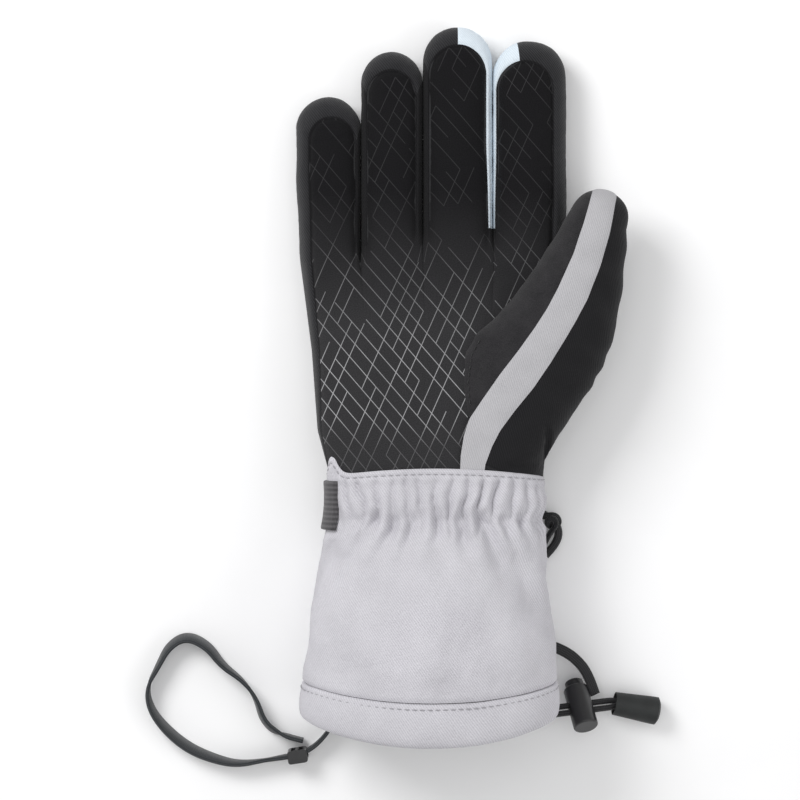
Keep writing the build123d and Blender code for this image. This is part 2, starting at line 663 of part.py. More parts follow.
with BuildPart() as cord_bell_cap:
    with BuildSketch(bell_plane):
        with BuildLine():
            Polyline((BELL_CAP_START, 0), (BELL_CAP_START, BELL_MOUTH_RADIUS),
                     (BELL_LENGTH - 1, BELL_MOUTH_RADIUS), (BELL_LENGTH, BELL_MOUTH_RADIUS - 1.7), (BELL_LENGTH - 0.6, 0), close=True)
        make_face()
    revolve(axis=Axis(bell_neck, BELL_WAY))
save("cord_bell_cap", cord_bell_cap.part)
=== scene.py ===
import math
import bmesh
import bpy
import numpy as np
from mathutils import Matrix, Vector


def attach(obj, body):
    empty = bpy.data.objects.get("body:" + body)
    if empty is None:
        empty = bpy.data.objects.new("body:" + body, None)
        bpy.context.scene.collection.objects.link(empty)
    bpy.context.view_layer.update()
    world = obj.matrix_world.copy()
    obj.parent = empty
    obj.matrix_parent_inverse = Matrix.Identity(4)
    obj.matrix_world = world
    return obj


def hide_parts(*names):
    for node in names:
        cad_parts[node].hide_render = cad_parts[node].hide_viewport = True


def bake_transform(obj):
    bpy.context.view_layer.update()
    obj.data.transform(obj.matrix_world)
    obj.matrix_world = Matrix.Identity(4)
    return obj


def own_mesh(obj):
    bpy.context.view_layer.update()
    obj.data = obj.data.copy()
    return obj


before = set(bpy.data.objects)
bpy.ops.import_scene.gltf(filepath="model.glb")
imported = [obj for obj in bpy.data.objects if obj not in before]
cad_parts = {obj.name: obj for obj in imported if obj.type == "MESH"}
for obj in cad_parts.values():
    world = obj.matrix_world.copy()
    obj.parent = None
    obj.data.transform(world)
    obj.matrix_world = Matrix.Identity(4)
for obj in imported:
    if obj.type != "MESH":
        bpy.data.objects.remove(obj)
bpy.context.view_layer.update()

# Ski glove lying on its back, palm up.  Lengths below are millimetres; meshes are written in metres.
MM = 0.001


# ======== small tools ========

def smooth(value):
    """Smooth step from 0 to 1."""
    value = np.clip(value, 0.0, 1.0)
    return value * value * (3 - 2 * value)


def bell(value, width):
    """Bell curve, 1 at zero and about a third at its width."""
    return np.exp(-(value / width) ** 2)


def ripple(x, y, scale, seed):
    """Smooth noise between about -1 and 1: a few sine waves chosen by the seed."""
    draw = np.random.default_rng(seed)
    total = np.zeros(np.broadcast(x, y).shape)
    for _ in range(7):
        turn = draw.uniform(0, 2 * math.pi)
        phase = draw.uniform(0, 2 * math.pi)
        size = draw.uniform(0.6, 1.6)
        along = x * math.cos(turn) + y * math.sin(turn)
        total = total + np.sin(along * size * 2 * math.pi / scale + phase)
    return total / 3.2


def new_object(name, points, faces, material, cloth=None):
    """Smooth-shaded mesh from points in millimetres; its cloth coordinates are kept in an attribute."""
    mesh = bpy.data.meshes.new(name)
    corners = [tuple(int(i) for i in face) for face in faces]
    mesh.from_pydata((np.asarray(points) * MM).tolist(), [], corners)
    mesh.polygons.foreach_set("use_smooth", [True] * len(mesh.polygons))
    if cloth is not None:
        layer = mesh.attributes.new("cloth", "FLOAT_VECTOR", "POINT")
        layer.data.foreach_set("vector", (np.asarray(cloth, dtype=float) * MM).ravel())
    mesh.materials.append(material)
    mesh.update()
    piece = bpy.data.objects.new(name, mesh)
    bpy.context.scene.collection.objects.link(piece)
    return piece


class Patch:
    """Grid of surface points with their cloth coordinates, joined to others into one piece."""

    def __init__(self, points, cloth, flip=False):
        self.points = np.asarray(points, dtype=float)
        self.cloth = np.asarray(cloth, dtype=float)
        self.flip = flip

    def faces(self, first):
        """Quads of the grid, numbered from a first vertex."""
        rows, columns = self.points.shape[:2]
        index = np.arange(rows * columns).reshape(rows, columns) + first
        corners = (index[:-1, :-1], index[:-1, 1:], index[1:, 1:], index[1:, :-1])
        quads = np.stack(corners, axis=-1).reshape(-1, 4)
        return quads[:, ::-1] if self.flip else quads


MERGES_PER_MM = 40


def join_patches(name, patches, material, keep=None):
    """One mesh out of several grids: equal points are merged, and keep may pick faces by their middle."""
    points, cloth, faces, first = [], [], [], 0
    for patch in patches:
        points.append(patch.points.reshape(-1, 3))
        cloth.append(patch.cloth.reshape(-1, 3))
        faces.append(patch.faces(first))
        first += len(points[-1])
    points, cloth, faces = np.concatenate(points), np.concatenate(cloth), np.concatenate(faces)
    if keep is not None:
        faces = faces[keep(points[faces].mean(axis=1))]
    keys = np.round(points * MERGES_PER_MM).astype(np.int64)
    _, chosen, inverse = np.unique(keys, axis=0, return_index=True, return_inverse=True)
    merged = inverse.reshape(-1)[faces]
    whole = []
    for face in merged.tolist():
        corners = [corner for i, corner in enumerate(face) if corner != face[i - 1]]
        if len(set(corners)) >= 3 and len(set(corners)) == len(corners):
            whole.append(corners)
    used = sorted({corner for face in whole for corner in face})
    order = {corner: i for i, corner in enumerate(used)}
    renumbered = [[order[corner] for corner in face] for face in whole]
    piece = new_object(name, points[chosen[used]], renumbered, material, cloth[chosen[used]])
    shell = bmesh.new()
    shell.from_mesh(piece.data)
    bmesh.ops.recalc_face_normals(shell, faces=shell.faces)
    shell.to_mesh(piece.data)
    shell.free()
    return piece


def riding(piece, body, node):
    """Piece that moves with one body in place of a CAD piece."""
    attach(piece, body)
    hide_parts(node)


def bending(piece, node):
    """Piece with its transform baked in, put in place of the CAD piece of that name where there is one."""
    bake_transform(piece)
    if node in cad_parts:
        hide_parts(node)


# ======== camera and light ========

CAMERA_HEIGHT = 1.100
VIEW_MIDDLE = (-0.02595, -0.01077)
VIEW_PLANE = 0.027
VIEW_WIDTH = 0.336
camera_data = bpy.data.cameras.new("photo_camera")
camera = bpy.data.objects.new("photo_camera", camera_data)
bpy.context.scene.collection.objects.link(camera)
camera.location = (VIEW_MIDDLE[0], VIEW_MIDDLE[1], CAMERA_HEIGHT)
camera_data.sensor_width = 36.0
camera_data.lens = camera_data.sensor_width * (CAMERA_HEIGHT - VIEW_PLANE) / VIEW_WIDTH
camera_data.clip_start = 0.05
bpy.context.scene.camera = camera


def area_light(name, place, aim, size, power):
    """Soft square light aimed at a point."""
    data = bpy.data.lights.new(name, "AREA")
    data.size = size
    data.energy = power
    lamp = bpy.data.objects.new(name, data)
    lamp.location = place
    lamp.rotation_euler = (Vector(aim) - Vector(place)).to_track_quat("-Z", "Y").to_euler()
    bpy.context.scene.collection.objects.link(lamp)


area_light("key_light", (-0.55, 0.45, 0.75), (-0.01, 0, 0.02), 0.45, 6.0)
area_light("fill_light", (0.75, -0.35, 0.7), (0, 0, 0.02), 0.7, 2.2)
area_light("top_light", (0.0, 0.1, 1.4), (0, 0, 0), 0.9, 2.4)
world = bpy.data.worlds.new("studio")
world.use_nodes = True
world.node_tree.nodes["Background"].inputs["Color"].default_value = (1, 1, 1, 1)
world.node_tree.nodes["Background"].inputs["Strength"].default_value = 0.56
bpy.context.scene.world = world
bpy.context.scene.view_settings.view_transform = "Standard"


# ======== materials ========

class Wire:
    """Value that comes out of a material's node; arithmetic with it adds math nodes."""

    def __init__(self, nodes, socket):
        self.nodes = nodes
        self.socket = socket

    def __add__(self, other):
        return self.nodes.math("ADD", self, other)

    def __sub__(self, other):
        return self.nodes.math("SUBTRACT", self, other)

    def __rsub__(self, other):
        return self.nodes.math("SUBTRACT", other, self)

    def __mul__(self, other):
        return self.nodes.math("MULTIPLY", self, other)

    def __truediv__(self, other):
        return self.nodes.math("DIVIDE", self, other)

    def within(self, low, high):
        """The value held between two limits."""
        return self.nodes.math("MINIMUM", self.nodes.math("MAXIMUM", self, low), high)


class Nodes:
    """Short way of writing a node material."""

    def __init__(self, name):
        self.material = bpy.data.materials.new(name)
        self.material.use_nodes = True
        self.tree = self.material.node_tree
        self.shader = self.tree.nodes["Principled BSDF"]

    def add(self, kind, **values):
        node = self.tree.nodes.new(kind)
        for key, value in values.items():
            setattr(node, key, value)
        return node

    def feed(self, socket, value):
        """Gives an input another node's output, a colour or a number."""
        if isinstance(value, Wire):
            self.tree.links.new(value.socket, socket)
        elif isinstance(value, tuple):
            socket.default_value = (*value, 1)
        else:
            socket.default_value = value

    def math(self, operation, first, second=0.0):
        node = self.add("ShaderNodeMath", operation=operation)
        self.feed(node.inputs[0], first)
        self.feed(node.inputs[1], second)
        return Wire(self, node.outputs[0])

    def in_millimetres(self, coordinates):
        scale = self.add("ShaderNodeVectorMath", operation="SCALE")
        self.feed(scale.inputs[0], Wire(self, coordinates))
        self.feed(scale.inputs["Scale"], 1000.0)
        return Wire(self, scale.outputs[0])

    def cloth(self):
        """Cloth coordinates in millimetres."""
        attribute = self.add("ShaderNodeAttribute", attribute_name="cloth")
        return self.in_millimetres(attribute.outputs["Vector"])

    def place(self):
        """Object coordinates in millimetres, for pieces that keep their shape."""
        return self.in_millimetres(self.add("ShaderNodeTexCoord").outputs["Object"])

    def split(self, vector):
        """First two coordinates of a vector."""
        node = self.add("ShaderNodeSeparateXYZ")
        self.feed(node.inputs[0], vector)
        return Wire(self, node.outputs[0]), Wire(self, node.outputs[1])

    def wave(self, value, length):
        return self.math("SINE", value * (2 * math.pi / length))

    def noise(self, vector, scale, detail, roughness=0.6):
        node = self.add("ShaderNodeTexNoise")
        values = {"Vector": vector, "Scale": scale, "Detail": detail, "Roughness": roughness}
        for key, value in values.items():
            self.feed(node.inputs[key], value)
        return Wire(self, node.outputs[0])

    def ramp(self, value, low, high, low_at, high_at):
        node = self.add("ShaderNodeValToRGB")
        for number, colour, position in ((0, low, low_at), (1, high, high_at)):
            node.color_ramp.elements[number].position = position
            node.color_ramp.elements[number].color = (*colour, 1)
        self.feed(node.inputs[0], value)
        return Wire(self, node.outputs[0])

    def mix(self, share, first, second):
        node = self.add("ShaderNodeMix", data_type="RGBA")
        for number, value in ((0, share), (6, first), (7, second)):
            self.feed(node.inputs[number], value)
        return Wire(self, node.outputs[2])

    def outer_face(self):
        """One on the outer face of the cloth and nothing on its inner face."""
        return 1.0 - Wire(self, self.add("ShaderNodeNewGeometry").outputs["Backfacing"])

    def colour(self, value):
        self.feed(self.shader.inputs["Base Color"], value)

    def bump(self, height, distance, strength):
        node = self.add("ShaderNodeBump")
        for key, value in (("Distance", distance), ("Strength", strength), ("Height", height)):
            self.feed(node.inputs[key], value)
        self.feed(self.shader.inputs["Normal"], Wire(self, node.outputs[0]))

    def finish(self, roughness, sheen, sheen_roughness, specular):
        self.feed(self.shader.inputs["Roughness"], roughness)
        self.feed(self.shader.inputs["Sheen Weight"], sheen)
        self.feed(self.shader.inputs["Sheen Roughness"], sheen_roughness)
        self.feed(self.shader.inputs["Specular IOR Level"], specular)
        return self.material


def twill(name, dark, light, pitch, sheen, roughness=0.85, fleck=0.35, painted_shade_inside=False):
    """Twill cloth: diagonal ribs crossed by fine threads, with uneven yarn colour; on request its inner face
    gets a painted shade, near black.
    """
    n = Nodes(name)
    vector = n.cloth()
    u, v = n.split(vector)
    ribs = n.wave(u * 0.80 + v * 0.60 + n.noise(vector, 0.35, 2.0) * 0.5, pitch)
    threads = n.wave(v, pitch * 0.52)
    height = ribs * 0.35 + threads * 0.15 + 0.5
    yarn = n.noise(vector, 1.6, 4.0, 0.7)
    cloud = n.noise(vector, 0.05, 3.0)
    shade = height * (1 - fleck) + yarn * fleck + (cloud - 0.5) * 0.35
    colour = n.ramp(shade, dark, light, 0.15, 0.85)
    # Painted shade: the cloth's inner face, inside the glove, is painted near black.
    if painted_shade_inside:
        colour = n.mix(n.outer_face(), (0.012, 0.012, 0.013), colour)
    n.colour(colour)
    n.bump(height + yarn * 0.8, 0.00016, 0.9)
    return n.finish(roughness, sheen, 0.45, 0.3)


def suede(name, dark, light):
    """Brushed synthetic suede: fine nap with soft clouding."""
    n = Nodes(name)
    vector = n.cloth()
    nap = n.noise(vector, 2.2, 5.0, 0.75)
    cloud = n.noise(vector, 0.12, 3.0)
    n.colour(n.ramp(nap * 0.75 + cloud * 0.25, dark, light, 0.36, 0.66))
    n.bump(nap, 0.00025, 0.8)
    return n.finish(0.95, 0.10, 0.6, 0.2)


# The two sets of printed lines: slant, key of their chances, share of segments left out, and how
# strongly that share grows towards the fingertips.
PRINT_LINES = ((41, 3.5, 0.16, 0.3), (-24, 8.5, 0.24, 1.0))
PRINT_GAP = 5.1
PRINT_HALF_LINE = 0.22


def printed_lattice(n, u, v):
    """Ink of the printed lines, whose segments end where lines cross and are left out by chance."""
    slants = [math.radians(lines[0]) for lines in PRINT_LINES]
    across = [u * (math.cos(slant) / PRINT_GAP) + v * (math.sin(slant) / PRINT_GAP) for slant in slants]
    on_fingers = n.math("MAXIMUM", (v - 8.0) * 0.010, 0.0)
    inks = []
    for (_, salt, left_out, lost), here, other in zip(PRINT_LINES, across, across[::-1]):
        number = n.math("ROUND", here)
        distance = n.math("ABSOLUTE", here - number) * PRINT_GAP
        stroke = ((1.0 - distance / PRINT_HALF_LINE) * 2.0).within(0.0, 1.0)
        segment = n.math("FLOOR", (other + number * 2.0) / 3.0)
        key = n.add("ShaderNodeCombineXYZ")
        for socket, value in zip(key.inputs, (number, segment, salt)):
            n.feed(socket, value)
        chance = n.add("ShaderNodeTexWhiteNoise", noise_dimensions="3D")
        n.feed(chance.inputs["Vector"], Wire(n, key.outputs[0]))
        limit = n.math("MINIMUM", on_fingers * lost + left_out, 0.6)
        inks.append(stroke * n.math("GREATER_THAN", Wire(n, chance.outputs["Value"]), limit))
    return n.math("MAXIMUM", *inks)


def printed_palm(name):
    """Black synthetic leather, paler on the palm, with a worn lattice of printed grip lines."""
    n = Nodes(name)
    vector = n.cloth()
    u, v = n.split(vector)
    ink = printed_lattice(n, u, v)
    on_palm = ((62.0 - v) / 62.0).within(0.07, 1.0)
    off_cuff = ((v + 34.0) / 16.0).within(0.22, 1.0)
    under_thumb = n.math("GREATER_THAN", u, 2.0) * n.math("LESS_THAN", v, -14.0)
    patchy = n.noise(vector, 0.045, 2.0) * 0.9 + n.noise(vector, 1.4, 3.0) * 0.6
    strength = patchy * on_palm * n.outer_face() * off_cuff * (1.0 - under_thumb)
    grain = n.noise(vector, 2.6, 4.0, 0.7)
    dark = n.ramp(grain, (0.003, 0.003, 0.0035), (0.012, 0.0115, 0.013), 0.3, 0.75)
    pale = n.ramp(grain, (0.012, 0.012, 0.0125), (0.048, 0.047, 0.050), 0.3, 0.75)
    leather = n.mix(((78.0 - v) / 60.0).within(0.0, 1.0), dark, pale)
    n.colour(n.mix(ink * n.math("MINIMUM", strength, 1.0), leather, (0.40, 0.40, 0.41)))
    n.bump(grain * 0.6 + ink * 0.6, 0.00020, 0.8)
    return n.finish(0.9, 0.03, 0.5, 0.12)


def woven_tape(name, dark, light, rib):
    """Woven tape, braid or elastic: ribs along it and fine picks across it."""
    n = Nodes(name)
    vector = n.cloth()
    u, v = n.split(vector)
    height = n.wave(u, rib) * 0.3 + n.wave(v, 0.7) * 0.2 + n.noise(vector, 1.8, 3.0) * 0.5
    n.colour(n.ramp(height, dark, light, 0.0, 0.8))
    n.bump(height, 0.0002, 0.8)
    return n.finish(0.7, 0.2, 0.4, 0.4)


def moulded(name, dark, light, roughness, coat=0.0):
    """Moulded plastic, rubber or plain wire with a faint grain and worn lighter patches."""
    n = Nodes(name)
    vector = n.place()
    grain = n.noise(vector, 2.0, 4.0, 0.7)
    wear = n.noise(vector, 0.18, 3.0)
    n.colour(n.ramp(grain * 0.5 + wear * 0.5, dark, light, 0.35, 0.75))
    n.bump(grain, 0.00006, 0.6)
    n.feed(n.shader.inputs["Coat Weight"], coat)
    n.feed(n.shader.inputs["Coat Roughness"], 0.25)
    return n.finish(roughness, 0.0, 0.5, 0.5)


def thread_material(name, dark, light):
    """Sewing thread."""
    n = Nodes(name)
    n.colour(n.ramp(n.noise(n.place(), 3.0, 2.0), dark, light, 0.3, 0.7))
    return n.finish(0.6, 0.3, 0.4, 0.4)


BLACK_TWILL = twill("black_twill", (0.003, 0.003, 0.004), (0.030, 0.030, 0.033), 0.95, 0.12)
# Darker copy of the black twill, a painted shade: it darkens the inner strips between the fingers and the
# thumb's back, and the seam strips, whose dark line is part seam colour and part painted shade of the groove.
PAINTED_SHADE_TWILL = twill("painted_shade_twill", (0.002, 0.002, 0.003), (0.011, 0.0105, 0.012), 0.95, 0.04)
GREY_TWILL = twill("grey_twill", (0.38, 0.37, 0.40), (0.69, 0.68, 0.72), 0.9, 0.05, 0.85, 0.65)
STRIPE_TWILL = twill("stripe_twill", (0.36, 0.355, 0.37), (0.50, 0.495, 0.515), 0.9, 0.05, 0.85, 0.5)
# The white fourchettes' inner face takes the painted shade inside the glove.
WHITE_TWILL = twill("white_twill", (0.60, 0.68, 0.75), (0.74, 0.81, 0.87), 0.9, 0.05, 0.8, 0.3, True)
LINING_CLOTH = suede("lining_fleece", (0.008, 0.008, 0.009), (0.035, 0.035, 0.038))
SUEDE = suede("suede", (0.004, 0.004, 0.005), (0.036, 0.034, 0.037))
PALM_PRINT = printed_palm("palm_print")
WEBBING = woven_tape("webbing", (0.035, 0.033, 0.036), (0.11, 0.105, 0.11), 2.0)
LEASH_TAPE = woven_tape("leash_tape", (0.010, 0.012, 0.014), (0.055, 0.060, 0.066), 1.1)
CORD_BRAID = woven_tape("cord_braid", (0.004, 0.004, 0.005), (0.035, 0.035, 0.038), 0.9)
PLASTIC = moulded("black_plastic", (0.006, 0.006, 0.007), (0.014, 0.014, 0.016), 0.38, 0.3)
RUBBER = moulded("cord_rubber", (0.006, 0.007, 0.007), (0.018, 0.021, 0.021), 0.6)
STEEL = moulded("spring_steel", (0.45, 0.45, 0.46), (0.6, 0.6, 0.61), 0.35)
BLACK_THREAD = thread_material("black_thread", (0.006, 0.006, 0.006), (0.03, 0.03, 0.032))
GREY_THREAD = thread_material("grey_thread", (0.24, 0.235, 0.25), (0.40, 0.39, 0.42))


# ======== cords, straps and tapes ========

def line_points(route):
    """Centreline, in millimetres, of the smooth NURBS curve whose control points are the route's points."""
    data = bpy.data.curves.new("route", "CURVE")
    data.dimensions = "3D"
    data.resolution_u = 20
    spline = data.splines.new("NURBS")
    spline.points.add(len(route) - 1)
    for control, place in zip(spline.points, route):
        control.co = (place[0] * MM, place[1] * MM, place[2] * MM, 1.0)
    spline.order_u = 3
    spline.use_endpoint_u = True
    carrier = bpy.data.objects.new("route", data)
    mesh = bpy.data.meshes.new_from_object(carrier)
    points = np.array([vertex.co[:] for vertex in mesh.vertices]) / MM
    bpy.data.objects.remove(carrier)
    bpy.data.curves.remove(data)
    bpy.data.meshes.remove(mesh)
    return points


def oblong(width, thick, corner):
    """Section of a flat tape with softened corners."""
    a, b, c = width / 2, thick / 2, corner
    lower = [(-a, -b + c), (-a + c, -b), (a - c, -b), (a, -b + c)]
    return lower + [(-x, -z) for x, z in lower]


def circle(radius, sides=14):
    """Round section."""
    return [(radius * math.cos(2 * math.pi * i / sides), radius * math.sin(2 * math.pi * i / sides))
            for i in range(sides)]


def swept(name, points, section, material, twist=None, upright=(0, 0, 1)):
    """Tape or cord of a section along a line; twist gives the turn of the section along it, in radians."""
    ahead = np.gradient(points, axis=0)
    ahead /= np.linalg.norm(ahead, axis=1)[:, None]
    side = np.cross(ahead, np.array(upright))
    side /= np.maximum(np.linalg.norm(side, axis=1), 1e-9)[:, None]
    up = np.cross(side, ahead)
    steps = np.linalg.norm(np.diff(points, axis=0), axis=1)
    travelled = np.concatenate([[0], np.cumsum(steps)])
    turn = np.zeros(len(points)) if twist is None else twist(travelled / travelled[-1])
    wide = up * np.cos(turn)[:, None] + side * np.sin(turn)[:, None]
    flat = side * np.cos(turn)[:, None] - up * np.sin(turn)[:, None]
    count = len(section)
    section = np.array(section)
    rim = np.concatenate([[0], np.cumsum(np.linalg.norm(np.diff(section, axis=0), axis=1))])
    rings = points[:, None, :] + wide[:, None, :] * section[None, :, :1]
    rings = rings + flat[:, None, :] * section[None, :, 1:]
    cloth = np.zeros(rings.shape)
    cloth[..., 0] = rim[None, :]
    cloth[..., 1] = travelled[:, None]
    faces = []
    for i in range(len(points) - 1):
        for j in range(count):
            k = (j + 1) % count
            faces.append((i * count + j, i * count + k, (i + 1) * count + k, (i + 1) * count + j))
    faces.append(tuple(range(count))[::-1])
    faces.append(tuple(range((len(points) - 1) * count, len(points) * count)))
    return new_object(name, rings.reshape(-1, 3), faces, material, cloth.reshape(-1, 3))


LEASH_ROUTE = [
    (-51.4, -143.0), (-59.2, -160.8), (-84.0, -165.2), (-95.4, -166.8), (-105.2, -164.6),
    (-116.4, -160.0), (-126.2, -152.0), (-133.0, -143.0), (-134.4, -133.6), (-129.6, -124.8),
    (-125.2, -116.2), (-117.4, -111.6), (-108.2, -116.0), (-102.2, -124.4), (-93.6, -130.6),
    (-87.6, -138.4), (-84.4, -149.2), (-76.4, -154.6), (-67.4, -156.6)]
LEASH_HEIGHT = 5.55


def leash_turn(share):
    """Slight twist of the leash, away from its sewn start and from its slider."""
    after_start = smooth((share - 0.16) / 0.06)
    before_end = 1 - smooth((share - 0.93) / 0.04)
    return 0.30 * np.sin(share * 11.0 + 0.6) * after_start * before_end


leash_line = line_points([(x, y, LEASH_HEIGHT) for x, y in LEASH_ROUTE])
leash = swept("leash_tape", leash_line, oblong(8.5, 1.5, 0.35), LEASH_TAPE, leash_turn)
riding(leash, "cuff", "leash_strap")
TETHER_ROUTE = [
    (34.8, -114.0, 14.8), (42.4, -116.6, 12.8), (49.4, -121.4, 9.8), (54.8, -128.4, 7.2),
    (57.6, -136.8, 6.6)]
tether_line = line_points(TETHER_ROUTE)
tether = swept("lock_tether_tape", tether_line, oblong(4.6, 1.1, 0.3), CORD_BRAID,
               lambda share: math.pi / 2 - 0.5 * share)
riding(tether, "cuff", "lock_tether")

PULL_ROUTE = [
    (24.5, -55.0, 5.4), (31.0, -57.0, 5.4), (37.4, -60.6, 5.0), (42.4, -65.6, 4.4), (41.4, -72.4, 4.0),
    (36.4, -77.4, 3.8)]
pull_line = line_points(PULL_ROUTE)
pull = swept("pull_loop_tape", pull_line, oblong(3.4, 2.2, 0.6), CORD_BRAID,
             lambda share: 0.6 + 0.9 * share)
KNOT_ROUTE = [
    (27.0, -58.0, 4.0), (32.5, -60.0, 4.6), (36.8, -60.4, 7.2), (40.8, -60.2, 6.6), (42.4, -63.6, 3.6),
    (39.4, -65.6, 2.6), (36.6, -62.8, 6.6), (39.6, -60.8, 8.0), (41.2, -64.0, 6.8), (38.4, -67.6, 5.2),
    (36.0, -72.6, 4.4), (34.2, -77.0, 3.8)]
knot_line = line_points(KNOT_ROUTE)
knot = swept("pull_loop_knot", knot_line, oblong(3.0, 1.7, 0.5), CORD_BRAID,
             lambda share: 0.8 + 2.4 * share)
for piece in (pull, knot):
    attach(piece, "cuff")
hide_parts("wrist_pull_loop")

CORD_EXIT = np.array([36.6, -143.4, 14.0])
CORD_WAY = np.array([0.9737, 0.0990, -0.2050])
LOCK_WAY = np.array([0.2000, -0.7900, 0.5796])
CORD_HALF_SPACING = 1.65
CORD_RADIUS = 1.3
LOCK_MIDDLE = CORD_EXIT + CORD_WAY * 14.9

# The spring between the lock's barrel and its button is flattened when the button is pressed.
COIL_ENDS = (4.55, 6.95)
COIL_RADIUS = 2.9
COIL_WIRE_RADIUS = 0.25
COIL_TURNS = 2.5
COIL_STEPS = 90
coil_across = np.cross(LOCK_WAY, CORD_WAY) / np.linalg.norm(np.cross(LOCK_WAY, CORD_WAY))
coil_up = np.cross(LOCK_WAY, coil_across)
coil_turn = np.linspace(0, COIL_TURNS * 2 * math.pi, COIL_STEPS)[:, None]
coil_axis = LOCK_MIDDLE + np.linspace(*COIL_ENDS, COIL_STEPS)[:, None] * LOCK_WAY
coil_line = coil_axis + COIL_RADIUS * (np.cos(coil_turn) * coil_across + np.sin(coil_turn) * coil_up)
coil = swept("lock_spring_coil", coil_line, circle(COIL_WIRE_RADIUS, 8), STEEL, None, tuple(LOCK_WAY))
riding(coil, "cord_lock", "lock_spring")
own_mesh(coil)

TAIL_STEPS = (-2.0, 9.0, 20.5, 31.6)
tail_route = [CORD_EXIT + CORD_WAY * along + LOCK_WAY * CORD_HALF_SPACING for along in TAIL_STEPS]
tail_route += [CORD_EXIT + CORD_WAY * along - LOCK_WAY * CORD_HALF_SPACING for along in TAIL_STEPS[::-1]]
tail_line = line_points(tail_route)
tail = swept("drawcord_tail_cord", tail_line, circle(CORD_RADIUS), CORD_BRAID, None, tuple(LOCK_WAY))
riding(tail, "cuff", "drawcord_tail")


# ======== glove outline in plan ========

# Sides, tip, crotches beside it, split between its base and tip pieces, insets of the face's two edges,
# and the rows over which its two joints bend.
FINGERS = {
    "little": {"left": -70.2, "right": -42.6, "tip": 118.3, "crotches": (None, 55.2), "split": 75.0,
               "insets": (6.0, 2.4), "knuckle": (52.0, 75.0), "middle": (76.0, 98.0)},
    "ring": {"left": -42.6, "right": -16.3, "tip": 137.4, "crotches": (55.2, 63.7), "split": 87.0,
             "insets": (3.0, 3.2), "knuckle": (59.0, 84.0), "middle": (89.0, 113.0)},
    "middle": {"left": -16.3, "right": 13.4, "tip": 148.0, "crotches": (63.7, 62.9), "split": 88.0,
               "insets": (3.0, 3.3), "knuckle": (59.0, 84.0), "middle": (93.0, 119.0)},
    "index": {"left": 13.4, "right": 44.8, "tip": 142.1, "crotches": (62.9, None), "split": 87.5,
              "insets": (2.0, 6.3), "knuckle": (59.0, 84.0), "middle": (90.0, 116.0)},
}
ORDER = ["little", "ring", "middle", "index"]
FINGER_START = 47.0
BASE_HALF = 12.7
TIP_HALF = 10.8
ROUNDNESS = 2.25
SEAM_WIDTH = 0.75
SEAM_DEPTH = 2.0
TIP_SHIFT = 6.0
ROW_STEP = 1.6
WALL_BULGE = 0.85

# Lowest height of the cloth, just above the surface that the glove lies on.
GROUND = 0.15

# Seams of a finger, as shares of the way from its medial line (0) to its silhouette (1).
FACE_EDGE = 0.74
SEAM_END = 0.775
BACK_EDGE = 0.80
BACK_COLUMN = 0.81

# Columns of a grid on the same scale: closer together near the seams and the silhouette.
COLUMNS = np.array([
    0.0, 0.14, 0.28, 0.42, 0.54, 0.62, 0.67, 0.705, FACE_EDGE, SEAM_END, BACK_COLUMN, 0.85, 0.89, 0.92, 0.945,
    0.965, 0.98, 0.99, 0.996, 1.0])
BOTH = np.concatenate([-COLUMNS[::-1], COLUMNS[1:]])

# Side of a finger that has a white fourchette, and place across it of the seam over its tip.
WHITE_SIDE = {"middle": 1, "index": -1}
TIP_SEAM = {"ring": 4.4, "index": -5.4, "middle": -0.6}


def left_side(y):
    """Left outline of the hand and the little finger."""
    rows = [-60, -42, -23.5, 10.4, 48.6, 82.6, 200]
    return np.interp(y, rows, [-54.5, -55.6, -60.7, -63.3, -68.4, -70.1, -70.1])


def right_side(y):
    """Right outline of the hand and the index finger."""
    rows = [-60, -42, -20, 10, 48, 70, 200]
    return np.interp(y, rows, [33.0, 34.2, 36.5, 40.0, 43.8, 44.8, 44.8])


def half_height(y):
    """Half the thickness of the hand at the knuckles and of a finger, less towards its tip."""
    return BASE_HALF - (BASE_HALF - TIP_HALF) * smooth((y - 70) / 60) + 2.5 * smooth((74 - y) / 30)


def dome(reach):
    """Height of a padded section from its medial line (0) to its edge (1), as a share of its middle."""
    reach = np.clip(reach, 0.0, 1.0)
    return (1 - reach ** ROUNDNESS) ** (1 / ROUNDNESS)


def valley(y, crotch):
    """How far the line between two fingers has risen at a row: 0 at the crotch, nearly 1 well below it."""
    if crotch is None:
        return np.zeros_like(np.asarray(y, dtype=float))
    return smooth((crotch - y) / 15.0) * 0.93


PARTINGS = [FINGERS[name]["right"] for name in ORDER[:3]]
START_SIDES = np.array([left_side(FINGER_START), *PARTINGS, right_side(FINGER_START)])


def finger_frame(name, y):
    """Left and right side of a finger, and of the strip of palm below it, at a row."""
    number = ORDER.index(name)
    y = np.asarray(y, dtype=float)
    low, high = left_side(y), right_side(y)
    share = (START_SIDES - START_SIDES[0]) / (START_SIDES[-1] - START_SIDES[0])
    sides = []
    for side in (number, number + 1):
        fanned = low + share[side] * (high - low)
        straight = {0: low, 4: high}.get(side, START_SIDES[side] + 0 * y)
        sides.append(np.where(y < FINGER_START, fanned, straight))
    return sides[0], sides[1]


